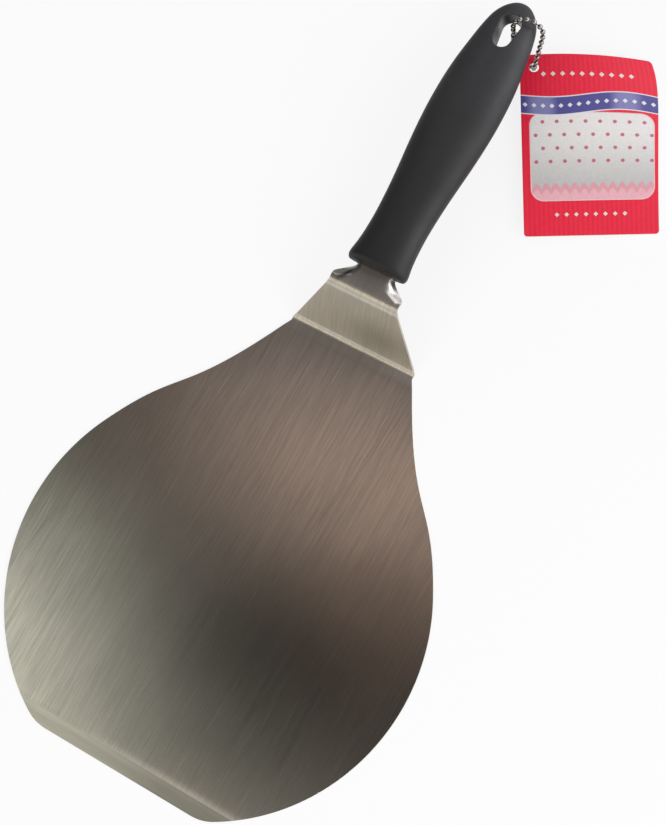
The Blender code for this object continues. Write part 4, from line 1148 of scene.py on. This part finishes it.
def build_card(thread):
    """The card, bent as it hangs. Its map keeps the flat card's places for the print."""
    bm = bmesh.new()
    hole = Vector(CARD_HOLE) + Vector((-0.25 * MM, 0.25 * MM))
    rim = arc_points(hole, CARD_HOLE_RADIUS - 0.35 * MM, 0, 2 * math.pi, 48)[:-1]
    bmesh.ops.triangle_fill(bm, edges=add_loop(bm, card_outline()) + add_loop(bm, rim), use_beauty=True)
    for direction, length, rows in ((Vector((0, 1, 0)), CARD_LENGTH, 56), (Vector((1, 0, 0)), CARD_WIDTH, 38)):
        for i in range(1, rows):
            everything = bm.verts[:] + bm.edges[:] + bm.faces[:]
            place = direction * length * i / rows
            bmesh.ops.bisect_plane(bm, geom=everything, plane_co=place, plane_no=direction)
    bm.normal_update()
    for face in bm.faces:
        if face.normal.z < 0:
            face.normal_flip()
    raised = bmesh.ops.extrude_face_region(bm, geom=bm.faces[:])
    top = [item for item in raised["geom"] if isinstance(item, bmesh.types.BMVert)]
    bmesh.ops.translate(bm, verts=top, vec=(0, 0, CARD_THICKNESS))
    top_faces = {item for item in raised["geom"] if isinstance(item, bmesh.types.BMFace)}
    for face in bm.faces:
        face.material_index = 0 if face in top_faces else 1
    flat = bm.loops.layers.uv.new("flat_card")
    for face in bm.faces:
        for loop in face.loops:
            loop[flat].uv = loop.vert.co.xy
    held = Vector((pulled(*CARD_HELD), drooped(*CARD_HELD)))
    turn = Matrix.Rotation(CARD_TURN, 2)
    for vert in bm.verts:
        x, y, above = vert.co
        plan = thread.xy + turn @ (Vector((pulled(x, y), drooped(x, y))) - held)
        vert.co = (plan.x, plan.y, card_lift(x, y) + above)
    piece = new_piece("swing_card", bm, [printed_face(), bare_board()], math.radians(50))
    soften = piece.modifiers.new("worn_edges", "BEVEL")
    soften.width = 0.08 * MM
    soften.segments = 2
    soften.limit_method = "ANGLE"
    soften.angle_limit = math.radians(60)
    return piece


# Stage


def aimed(obj, place, target):
    obj.location = place
    obj.rotation_euler = (Vector(target) - Vector(place)).to_track_quat("-Z", "Y").to_euler()
    bpy.context.scene.collection.objects.link(obj)


def add_lamp(name, place, target, size, power, colour=(1, 1, 1)):
    light = bpy.data.lights.new(name, "AREA")
    light.shape = "RECTANGLE"
    light.size, light.size_y = size
    light.energy = power
    light.color = colour
    lamp = bpy.data.objects.new(name, light)
    lamp.visible_glossy = False
    aimed(lamp, place, target)


def add_card(name, place, target, size, material, turn=0):
    """A studio card that shows only in reflections."""
    bm = bmesh.new()
    corners = ((-1, -1), (1, -1), (1, 1), (-1, 1))
    bm.faces.new([bm.verts.new((x * size[0] / 2, y * size[1] / 2, 0)) for x, y in corners])
    mesh = bpy.data.meshes.new(name)
    bm.to_mesh(mesh)
    bm.free()
    mesh.materials.append(material)
    card = bpy.data.objects.new(name, mesh)
    aimed(card, place, target)
    card.rotation_euler.z += turn
    card.visible_camera = False
    card.visible_diffuse = False
    card.visible_shadow = False
    card.visible_transmission = False


def glow_material(name, colour_of, sampled=True, clear=False):
    """A card's own soft light. colour_of makes its colour from places on the card.

    Its board faces away from whatever sees it, so it takes no light, but it lets the denoiser
    find the brushing of the steel that mirrors it.
    """
    material, tree, shader = new_material(name)
    tree.nodes.remove(shader)
    place = add_node(tree, "TexCoord").outputs["Object"]
    glow = add_node(tree, "Emission", {"Color": colour_of(tree, place), "Strength": 1.0}).outputs[0]
    if clear:
        board = add_node(tree, "BsdfTransparent").outputs[0]
    else:
        front = add_node(tree, "NewGeometry").outputs["Normal"]
        away = add_node(tree, "VectorMath", {0: front, "Scale": -1.0}, operation="SCALE").outputs[0]
        board = add_node(tree, "BsdfDiffuse", {"Color": (1, 1, 1, 1), "Normal": away}).outputs[0]
    both = add_node(tree, "AddShader", {0: glow, 1: board}).outputs[0]
    tree.links.new(both, tree.nodes["Material Output"].inputs["Surface"])
    material.cycles.emission_sampling = "AUTO" if sampled else "NONE"
    return material


def soft_glow_material(name, reach, colour):
    """A glow that fades from its middle to nothing, on a card that is otherwise clear."""
    def tones(tree, place):
        share = soft_glow(tree, place, (0, 0), reach, 0)
        return add_node(tree, "VectorMath", {0: colour, "Scale": share}, operation="SCALE").outputs[0]

    return glow_material(name, tones, clear=True)


def ceiling_tones(tree, place):
    """Dark overhead, and pale all round towards the horizon, most of all behind."""
    looks = bpy.context.scene.lifter_stage_looks
    inputs = {"Vector": place, "Location": (0.58, 0, 0), "Scale": (1 / 1.3, 1 / 0.85, 1)}
    moved = add_node(tree, "Mapping", inputs).outputs[0]
    far = add_node(tree, "VectorMath", {0: moved}, operation="LENGTH").outputs["Value"]
    back = add_node(tree, "SeparateXYZ", {0: place}).outputs[1]
    rim = mix_colours(tree, remap(tree, back, -0.6, 0.4), (0.76, 0.70, 0.56), (0.9, 0.9, 0.9))
    total = mix_colours(tree, remap(tree, far, 1.0, 1.6), looks.ceiling, rim)
    behind = calc(tree, "MULTIPLY", remap(tree, back, 0.55, 1.3), 0.7)
    return mix_colours(tree, behind, total, (1.9, 1.9, 2.0))


def build_ceiling():
    """A broad card overhead, with the soft glows that the blade mirrors just under it."""
    add_card("ceiling_card", (-0.3, 0.05, 1.1), (-0.3, 0.05, 0), (8, 8),
             glow_material("ceiling_tones", ceiling_tones, sampled=False))
    for number, (centre, reach, turn, colour) in enumerate(GLOWS, 1):
        place = (*centre, 1.1 - 0.004 * number)
        size = [4.8 * r for r in reach]
        material = soft_glow_material(f"glow_{number}", reach, colour)
        add_card(f"glow_card_{number}", place, (*centre, 0), size, material, math.radians(turn))


def build_world():
    world = bpy.data.worlds.new("plain_studio")
    bpy.context.scene.world = world
    world.use_nodes = True
    tree = world.node_tree
    rays = add_node(tree, "LightPath").outputs
    seen = calc(tree, "MAXIMUM", rays["Is Camera Ray"], rays["Is Glossy Ray"])
    seen = calc(tree, "MAXIMUM", seen, rays["Is Transmission Ray"])
    strength = remap(tree, seen, 0.0, 1.0, 0.62, 1.0, smooth=False)
    background = tree.nodes["Background"]
    background.inputs["Color"].default_value = (1, 1, 1, 1)
    tree.links.new(strength, background.inputs["Strength"])


def build_floor():
    """A pale floor that the camera sees as nearly white, with the shadow kept."""
    looks = bpy.context.scene.lifter_stage_looks
    material, tree, shader = new_material("pale_floor")
    shader.inputs["Base Color"].default_value = (*looks.floor, 1)
    shader.inputs["Roughness"].default_value = 0.9
    shader.inputs["Specular IOR Level"].default_value = 0.1
    rays = add_node(tree, "LightPath").outputs
    seen = calc(tree, "MAXIMUM", rays["Is Camera Ray"], rays["Is Glossy Ray"])
    seen = calc(tree, "MAXIMUM", seen, rays["Is Transmission Ray"])
    white = add_node(tree, "Emission", {"Color": (1, 1, 1, 1), "Strength": 1.0}).outputs[0]
    share = calc(tree, "MULTIPLY", seen, 0.82)
    both = add_node(tree, "MixShader", {0: share, 1: shader.outputs[0], 2: white}).outputs[0]
    tree.links.new(both, tree.nodes["Material Output"].inputs["Surface"])
    bm = bmesh.new()
    corners = ((-1, -1), (1, -1), (1, 1), (-1, 1))
    bm.faces.new([bm.verts.new((x * 6, y * 6, -0.05 * MM)) for x, y in corners])
    floor = new_piece("floor", bm, [material])


def build_camera():
    looks = bpy.context.scene.lifter_stage_looks
    camera_data = bpy.data.cameras.new("photo_view")
    camera_data.lens = looks.lens
    camera_data.sensor_width = 36
    camera_data.clip_start = 0.01
    camera = bpy.data.objects.new("photo_view", camera_data)
    camera.location = (0.184419, 0.008567, 0.685714)
    camera.rotation_euler = [math.radians(a) for a in (13.1205, 9.3572, 29.2079)]
    bpy.context.scene.collection.objects.link(camera)
    bpy.context.scene.camera = camera


# Operators


class LIFTER_OT_stage(Operator):
    """Sets up the floor, the soft lamps, the studio cards and the camera"""

    bl_idname = "lifter.stage"
    bl_label = "Stage"

    def execute(self, context):
        context.scene.view_settings.view_transform = "Standard"
        build_world()
        build_floor()
        build_camera()
        add_lamp("side_lamp", (0.95, 0.05, 0.62), (0.02, 0.1, 0.01), (0.7, 0.9), 5.5)
        add_lamp("front_lamp", (-0.45, -1.15, 0.62), (0, 0.1, 0.01), (1.1, 0.5), 4.5, (1, 0.985, 0.95))
        build_ceiling()
        add_card("right_card", (1.0, 0.5, 0.6), (0.0, 0.2, 0.02), (0.9, 1.15),
                 glow_material("right_glow", lambda tree, place: (2.7, 2.7, 2.75, 1)))
        add_card("spot_card", (0.75, -0.55, 0.95), (0.0, 0.27, 0.02), (0.25, 0.25),
                 glow_material("spot_glow", lambda tree, place: (12, 12, 12, 1)))
        add_card("high_card", (0.56, 0.80, 0.81), (0.0, 0.23, 0.03), (0.35, 0.35),
                 glow_material("high_glow", lambda tree, place: (9, 9, 9.2, 1)))
        add_card("back_card", (-0.6, 0.75, 0.3), (0.0, 0.2, 0.03), (0.9, 0.6),
                 glow_material("back_shade", lambda tree, place: (0.16, 0.15, 0.16, 1), sampled=False))
        add_card("left_card", (-0.75, 0.3, 0.2), (0.0, 0.2, 0.03), (1.3, 0.42),
                 glow_material("left_shade", lambda tree, place: (0.2, 0.2, 0.2, 1), sampled=False))
        return {"FINISHED"}


class LIFTER_OT_blade(Operator):
    """Builds the pressed steel blade with its crank and neck"""

    bl_idname = "lifter.blade"
    bl_label = "Blade"

    def execute(self, context):
        piece = build_blade()
        check_place(piece, "lifter_blade", 0.3 * MM)
        stand_for(piece, "lifter_blade")
        return {"FINISHED"}


class LIFTER_OT_handle(Operator):
    """Builds the moulded handle with its hanging slot"""

    bl_idname = "lifter.handle"
    bl_label = "Handle"

    def execute(self, context):
        piece = build_handle()
        check_place(piece, "handle_grip", 0.3 * MM)
        stand_for(piece, "handle_grip")
        return {"FINISHED"}


class LIFTER_OT_chain(Operator):
    """Builds the beads of the chain and finishes its connector"""

    bl_idname = "lifter.chain"
    bl_label = "Chain"

    def execute(self, context):
        build_chain()
        return {"FINISHED"}


class LIFTER_OT_card(Operator):
    """Builds the printed card that hangs on the chain"""

    bl_idname = "lifter.card"
    bl_label = "Card"

    def execute(self, context):
        piece = build_card(bead_centre(THREAD_NODE))
        check_place(piece, "tag_card", 0.5 * MM)
        stand_for(piece, "tag_card")
        return {"FINISHED"}


class LIFTER_PT_sidebar(Panel):
    """Lists the pieces in the order they are built"""

    bl_label = "Cake lifter"
    bl_idname = "LIFTER_PT_sidebar"
    bl_space_type = "VIEW_3D"
    bl_region_type = "UI"
    bl_category = "Lifter"

    def draw(self, context):
        for operator in OPERATORS:
            self.layout.operator(operator.bl_idname)


LOOKS = {
    "lifter_blade_looks": LifterBladeLooks,
    "lifter_handle_looks": LifterHandleLooks,
    "lifter_chain_looks": LifterChainLooks,
    "lifter_card_looks": LifterCardLooks,
    "lifter_stage_looks": LifterStageLooks,
}
OPERATORS = (LIFTER_OT_stage, LIFTER_OT_blade, LIFTER_OT_handle, LIFTER_OT_chain, LIFTER_OT_card)


def register():
    for looks in LOOKS.values():
        bpy.utils.register_class(looks)
    for name, looks in LOOKS.items():
        setattr(bpy.types.Scene, name, PointerProperty(type=looks))
    for operator in OPERATORS:
        bpy.utils.register_class(operator)
    bpy.utils.register_class(LIFTER_PT_sidebar)


def unregister():
    bpy.utils.unregister_class(LIFTER_PT_sidebar)
    for operator in reversed(OPERATORS):
        bpy.utils.unregister_class(operator)
    for name, looks in LOOKS.items():
        delattr(bpy.types.Scene, name)
        bpy.utils.unregister_class(looks)


def main():
    register()
    bpy.ops.lifter.stage()
    bpy.ops.lifter.blade()
    bpy.ops.lifter.handle()
    bpy.ops.lifter.chain()
    bpy.ops.lifter.card()


if __name__ == "__main__":
    main()
